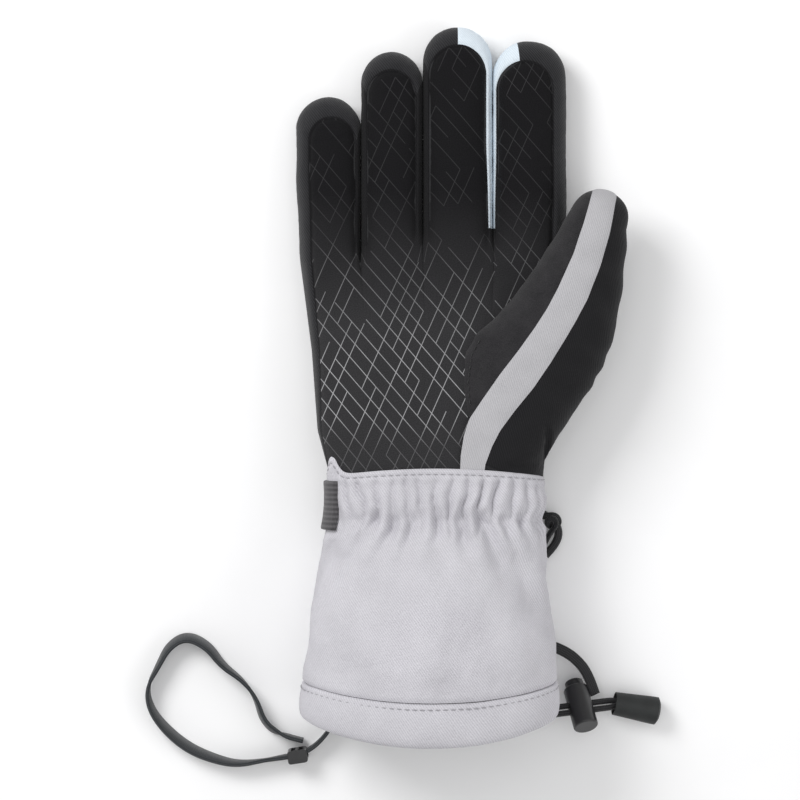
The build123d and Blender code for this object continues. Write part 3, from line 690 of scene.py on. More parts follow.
def spread(name, columns, y):
    """Moves the columns so that the face's edges lie at their own distances from the finger's sides."""
    spec = FINGERS[name]
    left, right = finger_frame(name, y)
    half = (right - left) / 2
    inset_left, inset_right = spec["insets"]
    if name == "little":
        inset_left = np.interp(y, [-42, -10, 47, 70], [0.6, 2.9, 5.4, inset_left])
    if name == "index":
        inset_right = inset_right + 0 * y
    taper = 0.72 + 0.28 * smooth((y - 62) / 40) if name in WHITE_SIDE else 1.0
    inset_left = inset_left * (taper if name == "index" else 1.0)
    inset_right = inset_right * (taper if name == "middle" else 1.0)
    share = np.abs(columns)
    hump = np.where(share <= FACE_EDGE, smooth(share / FACE_EDGE), smooth((1 - share) / (1 - FACE_EDGE)))
    wanted = np.where(columns < 0, 1 - inset_left / half, 1 - inset_right / half)
    return columns + np.sign(columns) * (wanted - FACE_EDGE) * hump


def finger_height(name, x, y, side):
    """Height of a finger's surface: side is 1 on the palm's side and -1 on the back."""
    spec = FINGERS[name]
    left, right = finger_frame(name, y)
    middle, half = (left + right) / 2, (right - left) / 2
    tip_middle = spec["tip"] - (spec["right"] - spec["left"]) / 2
    past = np.maximum(0, y - tip_middle)
    reach = np.sqrt((x - middle) ** 2 + past ** 2) / half
    tall = half_height(y)
    centre = tall + GROUND
    crotch_left, crotch_right = spec["crotches"]
    rise = np.where(x < middle, valley(y, crotch_left), valley(y, crotch_right))
    edge = centre + side * tall * rise
    high = centre + side * tall
    return edge + (high - edge) * dome(reach)


def finger_patches(name, low, high, inset=0.0):
    """Palm-side and back grids of a finger between two rows; the last one has the rounded tip."""
    spec = FINGERS[name]
    radius = (spec["right"] - spec["left"]) / 2 - inset
    tip_middle = spec["tip"] - inset - radius
    centre_x = (spec["left"] + spec["right"]) / 2
    patches = {}
    reach_tip = high is None
    top = tip_middle if reach_tip else high
    shift = TIP_SHIFT * (1 - smooth((np.abs(BOTH) - FACE_EDGE) / (1 - FACE_EDGE)))
    rows = np.linspace(0, 1, max(4, int((top - low) / ROW_STEP)))
    for side, label in ((1, "palm"), (-1, "back")):
        end = np.full(BOTH.shape, top) - (shift if reach_tip else 0)
        y = low + rows[:, None] * (end[None, :] - low)
        left, right = finger_frame(name, y)
        middle, half = (left + right) / 2, (right - left) / 2 - inset
        columns = BOTH[None, :] + 0 * y
        placed = spread(name, columns, y) if side == 1 else columns
        x = middle + placed * half
        patches[label] = shape_finger(name, x, y, side, columns, middle, y, inset, side == 1)
        if reach_tip:
            angles = np.linspace(math.pi, 0, 37)
            drop = TIP_SHIFT * (1 - smooth((COLUMNS - FACE_EDGE) / (1 - FACE_EDGE)))
            tip_rows = np.full(COLUMNS.shape, tip_middle)
            ends = [spread(name, sign * COLUMNS, tip_rows) * sign for sign in (-1, 1)]
            share = (1 - np.cos(angles)) / 2
            placed = ends[1][None, :] * (1 - share[:, None]) + ends[0][None, :] * share[:, None]
            reach = COLUMNS[None, :] + 0 * placed
            placed = placed if side == 1 else reach
            x = centre_x + radius * placed * np.cos(angles)[:, None]
            foot_y = tip_middle - drop[None, :] + 0 * placed
            y = tip_middle - drop[None, :] + radius * placed * np.sin(angles)[:, None]
            patches[label + "_tip"] = shape_finger(
                name, x, y, side, reach, centre_x + 0 * x, foot_y, inset, side == -1)
    return patches


def surface_folds(x, y):
    """Small folds and unevenness of stuffed cloth."""
    return 0.34 * ripple(x * 0.7, y, 17.0, 3) + 0.13 * ripple(x, y, 6.0, 9)


def shape_finger(name, x, y, side, reach, foot_x, foot_y, inset, flip):
    """Grid of a finger's surface with seam grooves, small folds and unrolled cloth coordinates."""
    spec = FINGERS[name]
    z = finger_height(name, x, y, side)
    if inset:
        centre = half_height(y) + GROUND
        z = centre + (z - centre) * (1 - inset / BASE_HALF)
    out_x, out_y = x - foot_x, y - foot_y
    length = np.maximum(np.hypot(out_x, out_y), 1e-6)
    share = np.abs(reach)
    half = (spec["right"] - spec["left"]) / 2
    centre_x = (spec["left"] + spec["right"]) / 2
    edge = FACE_EDGE if side == 1 else BACK_EDGE
    raised = np.where(x < centre_x, valley(y, spec["crotches"][0]), valley(y, spec["crotches"][1]))
    free = 1 - smooth(1.1 * raised)
    groove = SEAM_DEPTH * bell((share - edge) * half * 0.8, SEAM_WIDTH) * free
    on_tip = (y > spec["tip"] - half * 1.3) * (share > edge)
    tip_seam = 0.6 * bell(x - centre_x - TIP_SEAM.get(name, 0.0), 0.6) * on_tip
    puff = 0.5 * bell((share - (edge + 1) / 2) * half, 1.4) * free
    if side == 1:
        change = surface_folds(x, y) + puff - groove - tip_seam
    else:
        change = 0.5 * surface_folds(x + 40, y) - 0.6 * groove
    change = change * (inset == 0)
    steep = np.clip(share, 0, 1) ** 6
    z = np.maximum(z + side * change * (1 - steep), GROUND)
    parted = [crotch or FINGER_START for crotch in spec["crotches"]]
    apart = smooth((y - np.where(x < centre_x, *parted)) / 6.0)
    swell = 0.5 * surface_folds(x, y) * steep * apart * (inset == 0)
    x_moved = x + (out_x / length) * swell
    y_moved = y + (out_y / length) * swell
    wall = (np.arcsin(np.clip(share, 0, 1)) - math.asin(edge)) * WALL_BULGE * half
    arc = np.where(share <= edge, length, length + wall - (share - edge) * half)
    if side == -1:
        arc = math.pi * WALL_BULGE * half - arc
    unrolled = (foot_x + out_x / length * arc, foot_y + out_y / length * arc, np.zeros_like(x))
    return Patch(np.stack([x_moved, y_moved, z], axis=-1), np.stack(unrolled, axis=-1), flip)


TOUCH = 1e-6


def crop_columns(patch, test):
    """The strips of a grid whose columns pass a test, as separate grids."""
    chosen = np.flatnonzero(test)
    runs = np.split(chosen, np.flatnonzero(np.diff(chosen) > 1) + 1)
    return [Patch(patch.points[:, run], patch.cloth[:, run], patch.flip) for run in runs if len(run) > 1]


def sort_strips(name, patches, pieces, web):
    """Deals the straight grids' columns out to the face, the wrap, the gussets and the fourchette."""
    white = WHITE_SIDE.get(name, 0)
    outer = {"little": -1, "index": 1}.get(name, 0)
    pieces["face"] += crop_columns(patches["palm"], np.abs(BOTH) <= FACE_EDGE + TOUCH)
    pieces["wrap"] += crop_columns(patches["back"], np.abs(BOTH) <= BACK_COLUMN + TOUCH)
    for hand_side in (-1, 1):
        if hand_side == outer or web:
            side_kind = "wrap"
        else:
            # Inner strips between the fingers become gussets in the darker twill: painted shade between the
            # fingers.
            side_kind = "fourchette" if hand_side == white else "gusset"
        palm_kind = "face" if web and hand_side != outer else side_kind
        # Seam strips join the gussets' darker twill: a dark seam line, part seam colour and part painted
        # shade of the groove.
        seam = (BOTH * hand_side >= FACE_EDGE - TOUCH) & (BOTH * hand_side <= SEAM_END + TOUCH)
        pieces["face" if palm_kind == "face" else "gusset"] += crop_columns(patches["palm"], seam)
        pieces[palm_kind] += crop_columns(patches["palm"], BOTH * hand_side >= SEAM_END - TOUCH)
        pieces[side_kind] += crop_columns(patches["back"], BOTH * hand_side >= BACK_COLUMN - TOUCH)


def sort_tip(name, patches, pieces):
    """Deals the rounded tip's grids out; the wrap's halves, or wrap and fourchette, meet at its seam."""
    white = WHITE_SIDE.get(name, 0)
    # The tip's seam strips also take the gussets' darker twill, part seam colour and part painted shade of
    # the groove.
    seam = (COLUMNS >= FACE_EDGE - TOUCH) & (COLUMNS <= SEAM_END + TOUCH)
    pieces["gusset"] += crop_columns(patches["palm_tip"], seam)
    half_width = (FINGERS[name]["right"] - FINGERS[name]["left"]) / 2
    turn = math.acos(TIP_SEAM.get(name, 0.0) / half_width)
    for label, kind, low, edge in (
            ("palm_tip", "face", FACE_EDGE, SEAM_END), ("back_tip", "wrap", BACK_COLUMN, BACK_COLUMN)):
        patch = patches[label]
        pieces[kind] += crop_columns(patch, COLUMNS <= low + TOUCH)
        halfway = round((1 - turn / math.pi) * (patch.points.shape[0] - 1))
        for outer in crop_columns(patch, COLUMNS >= edge - TOUCH):
            for hand_side, rows in ((-1, slice(0, halfway + 1)), (1, slice(halfway, None))):
                half = Patch(outer.points[rows], outer.cloth[rows], outer.flip)
                pieces["fourchette" if hand_side == white else "wrap"].append(half)


# Gusset pieces take the darker twill as painted shade between the fingers and in the seams.
FINGER_CLOTH = {
    "face": (PALM_PRINT, "palm_print"), "wrap": (BLACK_TWILL, "black_twill"),
    "gusset": (PAINTED_SHADE_TWILL, "black_twill"), "fourchette": (WHITE_TWILL, "white_twill"),
    "liner": (LINING_CLOTH, "lining")}
LINER_INSET = 2.2
BEND_HEIGHT = 0.0165


def build_finger(name):
    """Base and tip pieces: face, wrap, gussets, lining and, on two fingers, a white fourchette."""
    spec = FINGERS[name]
    web_top = min(c for c in spec["crotches"] if c) - 1.0
    for part, low, high in (("base", FINGER_START, spec["split"]), ("tip", spec["split"], None)):
        pieces = {"face": [], "wrap": [], "gusset": [], "fourchette": []}
        if part == "base":
            sort_strips(name, finger_patches(name, low, web_top), pieces, True)
            sort_strips(name, finger_patches(name, web_top, high), pieces, False)
        else:
            patches = finger_patches(name, low, high)
            sort_strips(name, patches, pieces, False)
            sort_tip(name, patches, pieces)
        pieces["liner"] = list(finger_patches(name, low, high, LINER_INSET).values())
        centre = (spec["left"] + spec["right"]) / 2 * MM
        start, end = spec["knuckle"] if part == "base" else spec["middle"]
        zone = {"start": (centre, start * MM, BEND_HEIGHT), "end": (centre, end * MM, BEND_HEIGHT)}
        for kind, grids in pieces.items():
            if grids:
                material, slot = FINGER_CLOTH[kind]
                piece = join_patches(f"{name}_{part}_{kind}_cloth", grids, material)
                bending(piece, f"{name}_{part}_{kind}")


for finger in ORDER:
    build_finger(finger)


# ======== outline of the cuff ========

# Row, middle, half width, low side and high side.
CUFF_STATIONS = np.array([
    (-30, -11, 45.2, 3.5, 49.8), (-42, -11, 45.0, 4.6, 50.0), (-56, -11, 44.0, 5.8, 49.6),
    (-66, -11.6, 44.8, 5.2, 51.5), (-80, -12.4, 47.6, 2.0, 57.5), (-96, -12.9, 50.5, -0.3, 66.0),
    (-113, -13.2, 51.8, -0.4, 71.5), (-131, -13.5, 52.5, -0.4, 74.4), (-148, -13.8, 53.0, -0.4, 75.2),
    (-160, -13.8, 53.0, -0.4, 75.4)], dtype=float)
CUFF_ROUNDNESS = 2.75
CUFF_TOP = -39.4
HEM_SEAM = -131.0
HEM_EDGE = -148.0
CUFF_COLUMNS = 361
GATHER_ROW = -62.0
WRIST_HALF_WIDTH = 44.3
STITCH_SPACING = 3.1
TOP_STITCHING = CUFF_TOP - 2.3
HEM_STITCHING = HEM_SEAM - 2.2


def cuff_section(y):
    """Middle, half width, low and high side of the cuff at a row, without kinks between the stations."""
    rows = -CUFF_STATIONS[:, 0]
    shifts = (-6, -4, -2, 0, 2, 4, 6)
    values = []
    for column in CUFF_STATIONS.T[1:]:
        values.append(np.mean([np.interp(-y + shift, rows, column) for shift in shifts], axis=0))
    return values


# ======== palm and back of the hand ========

def hand_top(y):
    """Height of the middle of the palm."""
    return np.interp(y, [-60, -42, -25, 0, 25, 47, 80], [49, 48.6, 46.5, 42.0, 37.0, 31.0, 25.5])


def hand_low(y):
    """Height of the back of the hand, which lifts off the surface towards the wrist."""
    return np.interp(y, [-60, -42, -28, -16, 100], [6.0, 5.0, 1.6, GROUND, GROUND])


def palm_height(x, y, side):
    """Height of the palm (side 1) or of the back of the hand (side -1) away from the fingers."""
    left, right = left_side(y), right_side(y)
    reach = np.clip(np.abs((x - (left + right) / 2) / ((right - left) / 2)), 0, 1)
    top, low = hand_top(y), hand_low(y)
    centre = low + (top - low) * 0.47
    bulge = (1 - reach ** 2.7) ** (1 / 2.7)
    under_thumb = 7.0 * smooth((x - 8) / 26) * smooth((y + 34) / 22) * (side == 1)
    bulge_height = top - centre if side == 1 else centre - low
    return centre + side * bulge_height * bulge - under_thumb


def hand_patches(low, high):
    """Palm-side and back grids of the hand between two rows, in the four fingers' columns."""
    y_rows = np.linspace(low, high, max(4, int((high - low) / ROW_STEP)))[:, None]
    grids = {"palm": [], "seam": [], "band": [], "back": []}
    for name in ORDER:
        for side in (1, -1):
            y = y_rows + 0 * BOTH[None, :]
            columns = BOTH[None, :] + 0 * y
            left, right = finger_frame(name, y)
            middle, half = (left + right) / 2, (right - left) / 2
            placed = spread(name, columns, y) if side == 1 else columns
            x = middle + placed * half
            near = 1 - smooth((FINGER_START - y) / 34)
            finger_z = shape_finger(name, x, y, side, np.abs(columns), middle, y, 0.0, False).points[..., 2]
            hand_middle = (left_side(y) + right_side(y)) / 2
            hand_half = (right_side(y) - left_side(y)) / 2
            inner = 1 - np.clip(np.abs(x - hand_middle) / hand_half, 0, 1) ** 8
            palm_z = palm_height(x, y, side) + (side == 1) * surface_folds(x, y) * inner
            z = np.maximum(near * finger_z + (1 - near) * palm_z, GROUND)
            if name == "little":
                seam = (side == 1) * 1.1 * bell((columns + FACE_EDGE) * half * 0.8, SEAM_WIDTH)
                z = z - seam * (1 - near)
            points = np.stack([x, y, z], axis=-1)
            grid = Patch(points, np.stack([x, y, z * 0], axis=-1), side == 1)
            unrolled = x + np.where(x < hand_middle, z - 20.0, 20.0 - z)
            wall = Patch(points, np.stack([unrolled, y, z * 0], axis=-1), side == 1)
            if side == -1:
                grids["back"].append(wall)
            elif name == "little":
                grids["palm"] += crop_columns(grid, BOTH >= -FACE_EDGE - TOUCH)
                seam_columns = (BOTH <= -FACE_EDGE + TOUCH) & (BOTH >= -SEAM_END - TOUCH)
                grids["seam"] += crop_columns(wall, seam_columns)
                grids["band"] += crop_columns(wall, BOTH <= -SEAM_END + TOUCH)
            else:
                grids["palm"].append(grid)
    return grids


PALM_END = -44.0
WRIST_ZONE = {"start": (-0.011, -0.026, 0.026), "end": (-0.011, -0.058, 0.026)}
hand_grids = hand_patches(PALM_END, FINGER_START)
# The ulnar seam strip takes the darker twill: a dark seam line, part seam colour and part painted shade of
# its groove.
for kind, node, material, slot in (
        ("palm", "palm_panel", PALM_PRINT, "palm_print"), ("seam", "ulnar_seam", PAINTED_SHADE_TWILL, "black_twill"),
        ("band", "ulnar_side_band", BLACK_TWILL, "black_twill"),
        ("back", "back_panel", BLACK_TWILL, "black_twill")):
    panel = join_patches(f"{node}_cloth", hand_grids[kind], material)
    bending(panel, node)


# ======== thumb ========

THUMB_START = np.array([20.3, -27.6])
THUMB_AXIS = np.array([0.3502, 0.9367])
THUMB_ACROSS = np.array([0.9367, -0.3502])
THUMB_TIP_MIDDLE = 99.5
THUMB_CENTRE = 28.0
THUMB_LINING_END = 106.0
THUMB_BEND_HEIGHT = 0.028
THUMB_ROW_STEP = 1.5
THUMB_COLUMNS = np.array([
    0.0, 0.06, 0.12, 0.18, 0.24, 0.30, 0.36, 0.42, 0.48, 0.54, 0.60, 0.66, 0.72, 0.78, 0.83, 0.87, 0.905,
    0.935, 0.96, 0.975, 0.987, 0.995, 1.0])


def thumb_sides(along):
    """Left and right outline of the thumb across its axis, with the ball of the thumb at its root."""
    left = np.interp(along, [-15, 2, 9, 16, 28, 36, 47, 58, 69.5, 92, THUMB_TIP_MIDDLE],
                     [-13, -20.0, -25.0, -28.4, -31.0, -29.6, -23.6, -19.4, -16.2, -11.2, -10.2])
    right = np.interp(along, [-15, 1.6, 16.4, 31.3, 45.4, 60, 71.3, 85, 96.2, THUMB_TIP_MIDDLE],
                      [15.6, 16.9, 20.0, 23.8, 25.8, 25.0, 22.8, 19.4, 16.0, 15.0])
    return left, right


def thumb_share(along, across):
    """How near the thumb's outline a point is: 0 at its middle, 1 on the outline."""
    left, right = thumb_sides(np.minimum(along, THUMB_TIP_MIDDLE))
    past = np.maximum(0, along - THUMB_TIP_MIDDLE)
    return np.sqrt((across - (left + right) / 2) ** 2 + past ** 2) * 2 / (right - left)


def thumb_plan(along, across):
    """Place in the glove's plan of a point given along and across the thumb."""
    return (THUMB_START[0] + THUMB_AXIS[0] * along + THUMB_ACROSS[0] * across,
            THUMB_START[1] + THUMB_AXIS[1] * along + THUMB_ACROSS[1] * across)


def thumb_local(x, y):
    """Distances along and across the thumb of a point in plan."""
    dx, dy = x - THUMB_START[0], y - THUMB_START[1]
    return dx * THUMB_AXIS[0] + dy * THUMB_AXIS[1], dx * THUMB_ACROSS[0] + dy * THUMB_ACROSS[1]


def thumb_surface(along, across, side):
    """Height of the thumb's surface, palm side (1) or back (-1)."""
    left, right = thumb_sides(np.minimum(along, THUMB_TIP_MIDDLE))
    middle = (left + right) / 2
    reach = thumb_share(along, across)
    top = np.interp(along, [-15, 0, 20, 45, 70, 90, 112], [47.5, 49.0, 49.5, 48.0, 45.5, 43.0, 40.5])
    low = np.interp(along, [-15, 10, 40, 60, 80, 112], [9.0, 9.5, 12.0, 15.0, 16.0, 17.5])
    centre = THUMB_CENTRE + 0 * along
    x, y = thumb_plan(along, across)
    joined = 1 - smooth((along - 40) / 22)
    left_edge = centre + (palm_height(x, y, 1) - 3.0 - centre) * joined
    edge = np.where(across < middle, left_edge, centre)
    shape = (1 - np.clip(reach, 0, 1) ** 2.2) ** (1 / 2.2)
    if side == 1:
        return edge + (top - edge) * shape
    return np.minimum(edge, centre) + (low - np.minimum(edge, centre)) * shape


def thumb_grid(low, high):
    """Palm-side and back grids of the thumb between two distances along it, or up to its rounded tip."""
    columns = np.concatenate([-THUMB_COLUMNS[::-1], THUMB_COLUMNS[1:]])
    top = THUMB_TIP_MIDDLE if high is None else high
    rows = np.linspace(low, top, max(4, int((top - low) / THUMB_ROW_STEP)))
    grids = []
    for side in (1, -1):
        along = rows[:, None] + 0 * columns[None, :]
        left, right = thumb_sides(along)
        across = (left + right) / 2 + columns[None, :] * (right - left) / 2
        grids.append(thumb_patch(along, across, side, np.abs(columns)[None, :] + 0 * along, side == 1))
        if high is None:
            angles = np.linspace(math.pi, 0, 33)[:, None]
            reach = THUMB_COLUMNS[None, :]
            left, right = thumb_sides(THUMB_TIP_MIDDLE)
            radius = (right - left) / 2
            across = (left + right) / 2 + radius * reach * np.cos(angles)
            along = THUMB_TIP_MIDDLE + radius * reach * np.sin(angles)
            grids.append(thumb_patch(along, across, side, reach + 0 * angles, side == -1))
    return grids


def thumb_folds(along, across):
    """Folds across the thumb, deeper on its outer side, with finer unevenness."""
    outer = smooth((across - 2) / 12)
    phase = along * 2 * math.pi / 15.0 + 0.09 * across + 2.0 * ripple(along, across, 60.0, 21)
    cross = 0.75 * np.sin(phase) * (0.25 + 0.75 * outer) * smooth((along - 8) / 30) * 0.8
    return 0.30 * ripple(along, across, 14.0, 17) + cross


def fold_height(folds, side, share):
    """What the folds add to the thumb's height: less on its back and nothing at its outline."""
    return side * folds * (1 - share ** 4) * (1.0 if side == 1 else 0.5)


def below_cuff(x, y, z):
    """Keeps the root of the thumb under the upper edge of the cuff."""
    middle, half, low, high = cuff_section(y)
    reach = np.clip(np.abs(x - middle) / half, 0, 1)
    roof = (low + high) / 2 + (high - low) / 2 * (1 - reach ** CUFF_ROUNDNESS) ** (1 / CUFF_ROUNDNESS)
    return np.minimum(z, roof - 0.9 + np.maximum(0, y + 38) * 1.1)


def thumb_patch(along, across, side, share, flip):
    """Grid of the thumb's surface with its folds."""
    z = thumb_surface(along, across, side)
    x, y = thumb_plan(along, across)
    folds = thumb_folds(along, across)
    z = z + fold_height(folds, side, share)
    push = folds * share ** 4 * 0.6 * np.sign(across - 1.0)
    x, y = x + THUMB_ACROSS[0] * push, y + THUMB_ACROSS[1] * push
    z = below_cuff(x, y, z)
    stretched = across + (share ** 3) * 4.0 * np.sign(across)
    cloth = np.stack([stretched, along, 0 * along], axis=-1)
    if side == -1:
        cloth[..., 0] = 80 - cloth[..., 0]
    return Patch(np.stack([x, y, z], axis=-1), cloth, flip)


# Distance along the thumb, left edge and right edge of the stripe.
STRIPE = np.array([
    (-27.0, -12.8, -2.8), (-18.0, -16.2, -5.8), (-13.0, -17.8, -7.0), (-5.0, -19.4, -7.0),
    (2.1, -19.7, -6.2), (12.0, -17.4, -3.4), (23.8, -14.4, 0.6), (36.0, -10.6, 3.6), (47.0, -7.6, 5.8),
    (56.0, -5.6, 7.4), (65.6, -4.3, 8.7), (81.4, -3.2, 9.0), (94.6, -3.6, 8.0), (107.7, -4.4, 6.0),
    (120.0, -4.6, 5.0)])


def stripe_sides(along):
    """Left and right edge of the light stripe across the thumb."""
    return np.interp(along, STRIPE[:, 0], STRIPE[:, 1]), np.interp(along, STRIPE[:, 0], STRIPE[:, 2])


def suede_side(middles):
    """Faces of the thumb on the palm side of the stripe's middle."""
    along, across = thumb_local(middles[:, 0], middles[:, 1])
    left, right = stripe_sides(along)
    return (across < (left + right) / 2) & (middles[:, 2] > 20)


STRIPE_SHARES = np.linspace(0, 1, 13)
STRIPE_MIDDLE = 6
STRIPE_LIFT = 0.42


def stripe_across(along):
    """Places across the thumb of the stripe's points in one row."""
    left, right = stripe_sides(along)
    return left + STRIPE_SHARES * (right - left)


def stripe_rows(low, high):
    """Rows of the stripe, as distances along and across the thumb; at the tip it turns over to the back."""
    end = THUMB_TIP_MIDDLE if high is None else high
    rows = []
    for along in np.linspace(low, end, int((end - low) / THUMB_ROW_STEP)):
        rows.append((along + 0 * STRIPE_SHARES, stripe_across(along), 1))
    if high is None:
        left, right = thumb_sides(THUMB_TIP_MIDDLE)
        middle, radius = (left + right) / 2, (right - left) / 2
        for side, turns in ((1, np.linspace(0.04, 1, 22)), (-1, np.linspace(0.985, 0.2, 20))):
            for rise in np.sin(turns * math.pi / 2):
                across = stripe_across(THUMB_TIP_MIDDLE + radius * rise)
                reach = np.sqrt(np.maximum(radius ** 2 - (across - middle) ** 2, 0.0))
                rows.append((THUMB_TIP_MIDDLE + reach * rise, across, side))
    return rows


def stripe_ribbon(low, high):
    """The stripe as a strip of cloth that lies on the thumb, with its edges pressed down."""
    pressed = bell(STRIPE_SHARES * 12, 1.0) + bell((STRIPE_SHARES - 1) * 12, 1.0)
    lift = STRIPE_LIFT * (1 - 0.75 * pressed)
    points, cloth = [], []
    travelled = low
    for along, across, side in stripe_rows(low, high):
        share = np.clip(thumb_share(along, across), 0, 1)
        z = thumb_surface(along, across, side) + fold_height(thumb_folds(along, across), side, share)
        z = z + side * lift * (1 - share ** 8)
        x, y = thumb_plan(along + lift * share ** 8 * (along > THUMB_TIP_MIDDLE), across)
        if side == 1:
            z = below_cuff(x, y, np.where(along < 22, np.maximum(z, palm_height(x, y, 1) + 1.0), z))
        points.append(np.stack([x, y, z], axis=-1))
        if len(points) > 1:
            travelled += np.linalg.norm(points[-1][STRIPE_MIDDLE] - points[-2][STRIPE_MIDDLE])
        cloth.append(np.stack([across, travelled + 0 * across, 0 * across], axis=-1))
    return Patch(points, cloth, True)


def thumb_zone(along, reach):
    """Start and end, in metres, of a bend across the thumb."""
    ends = [np.array(thumb_plan(along + step, 0.0)) * MM for step in (-reach, reach)]
    return {"start": (*ends[0], THUMB_BEND_HEIGHT), "end": (*ends[1], THUMB_BEND_HEIGHT)}


THUMB_PARTS = (
    ("thumb_root", -13.0, 20.0, ("hand", "cuff"), WRIST_ZONE),
    ("thumb_base", 20.0, 60.0, ("hand", "thumb_base"), thumb_zone(44.0, 14.0)),
    ("thumb_tip", 60.0, None, ("thumb_base", "thumb_tip"), thumb_zone(76.0, 13.0)),
)
for part, low, high, bodies, zone in THUMB_PARTS:
    grids = thumb_grid(low, high)
    stripe_start = low - (11.0 if low < 0 else 0.0)
    front = join_patches(f"{part}_front_cloth", grids, SUEDE, suede_side)
    # The thumb's back takes the darker twill: painted shade on that side of the thumb.
    back = join_patches(f"{part}_back_cloth", grids, PAINTED_SHADE_TWILL, lambda middles: ~suede_side(middles))
    stripe = join_patches(f"{part}_stripe_cloth", [stripe_ribbon(stripe_start, high)], STRIPE_TWILL)
    bending(front, f"{part}_front")
    bending(back, f"{part}_back")
    bending(stripe, f"{part}_stripe")


# ======== wrist and gauntlet cuff ========

def cuff_ring(turn, y, out):
    """Points of the cuff at turns round it (0 at the thumb side, a quarter turn at the top), pushed out."""
    middle, half, low, high = cuff_section(y)
    centre, rise = (low + high) / 2, (high - low) / 2
    power = 2 / CUFF_ROUNDNESS
    across = np.sign(np.cos(turn)) * np.abs(np.cos(turn)) ** power
    above = np.sign(np.sin(turn)) * np.abs(np.sin(turn)) ** power
    way_x = np.sign(across) * np.abs(across) ** (CUFF_ROUNDNESS - 1) / half
    way_z = np.sign(above) * np.abs(above) ** (CUFF_ROUNDNESS - 1) / rise
    size = np.hypot(way_x, way_z)
    x = middle + half * across + out * way_x / size
    z = centre + rise * above + out * way_z / size
    return x, z


def even_turns():
    """Turns round the cuff, evenly spaced along its cloth, and how far each is from the top's middle."""
    fine = np.linspace(-math.pi / 2, 1.5 * math.pi, 4001)
    x, z = cuff_ring(fine, np.full(fine.shape, GATHER_ROW), 0.0)
    run = np.concatenate([[0], np.cumsum(np.hypot(np.diff(x), np.diff(z)))])
    wanted = np.linspace(0, run[-1], CUFF_COLUMNS)
    turns = np.interp(wanted, run, fine)
    top = np.interp(math.pi / 2, fine, run)
    return turns, top - wanted


TURNS, ROUND = even_turns()

# Folds below the pleats: place round the cuff, first row, length, depth, width and slant.
FOLDS = [
    (-40, -64, 26, 2.0, 2.3, -0.70), (-33, -62, 20, 1.8, 2.0, -0.62), (-25.5, -60, 30, 2.2, 2.2, -0.60),
    (-17, -62, 22, 1.9, 2.0, -0.46), (-8.5, -61, 17, 1.7, 1.9, -0.30), (1.5, -60, 12, 1.6, 1.9, -0.05),
    (9.5, -61, 22, 2.2, 2.0, 0.30), (19.5, -60, 36, 2.6, 2.3, 0.42), (28, -61, 24, 2.0, 2.0, 0.50),
    (36, -60, 20, 1.8, 1.9, 0.46), (45, -62, 26, 1.9, 2.2, 0.5), (-52, -62, 26, 1.9, 2.3, -0.4),
    (60, -62, 24, 1.6, 2.4, 0.2), (74, -62, 26, 1.6, 2.4, 0.1), (-66, -62, 26, 1.6, 2.4, -0.2),
    (-80, -62, 24, 1.6, 2.4, 0.1), (90, -62, 24, 1.5, 2.4, 0.0), (-96, -62, 24, 1.5, 2.4, 0.0)]


def cuff_relief(across, y):
    """Distance out of the pleats at the wrist, the folds below them and the gauntlet's soft dents."""
    gather = smooth((CUFF_TOP - 1.5 - y) / 4) * (1 - smooth((-62 - y) / 9))
    warp = 0.75 * ripple(across * 0.8, y * 1.2, 30.0, 31) + 0.3 * ripple(across, y, 12.0, 5)
    lean = 0.22 * across * (1 - smooth((y + 62) / 16)) * 0.18
    phase = (across + lean) / 6.3 * math.pi + warp * 0.9
    pleat = np.abs(np.sin(phase)) ** 0.75 - 0.62
    uneven = 0.95 + 0.3 * ripple(across, y * 0.6, 30.0, 77)
    cinch = bell(y + 46.0, 2.4) * 0.55 + bell(y + 60.5, 3.0)
    swell = bell(y + 53.0, 5.2)
    relief = gather * uneven * pleat * (2.1 + 1.0 * swell) - 1.0 * cinch * gather + 0.8 * swell
    for start, top, length, depth, width, slant in FOLDS:
        gone = np.maximum(top - y, 0)
        place = start + slant * gone * (1 - 0.25 * smooth(gone / 40))
        broad = width + 0.13 * gone
        strength = depth * smooth((top + 6 - y) / 8) * np.exp(-(gone / length) ** 1.4)
        relief = relief - 1.35 * strength * bell(across - place, broad)
        relief = relief + 0.60 * strength * bell(across - place - 2.1 * broad, 1.3 * broad)
    below = smooth((-66 - y) / 14) * (1 - 0.6 * smooth((-118 - y) / 14))
    relief = relief + below * (1.7 * ripple(across, y, 62.0, 15) + 0.85 * ripple(across, y * 0.8, 25.0, 52))
    relief = relief - 2.4 * below * bell(across - 30 - 0.42 * (-66 - y), 7) * bell(y + 88, 22)
    relief = relief - 1.2 * below * bell(y + 84 + 0.2 * across, 6) * bell(across + 44, 14)
    under_strap = smooth((-36 - across) / 8) * smooth((-42 - y) / 4) * smooth((y + 71) / 4)
    return relief * (1 - 0.85 * under_strap) + 0.10 * ripple(across, y, 5.0, 8)


def bow(turn, y):
    """How far a row is drawn towards the fingers at the sides of the cuff and towards the hem on top."""
    beside = np.abs(np.cos(turn)) ** (2 / CUFF_ROUNDNESS)
    on_top = 1 - beside ** 2
    at_hem = np.where(np.sin(turn) > 0, 6.2 - 9.2 * on_top, 6.2 - 5.4 * on_top)
    at_wrist = np.where(np.sin(turn) > 0, -3.0 + 3.4 * on_top, -3.0 + 2.0 * on_top)
    at_wrist = at_wrist + 8.5 * bell(turn - 2.86, 0.24)
    share = np.clip((CUFF_TOP - y) / (CUFF_TOP - HEM_EDGE), 0, 1)
    return at_hem * share ** 2.6 + at_wrist * (1 - share) ** 9


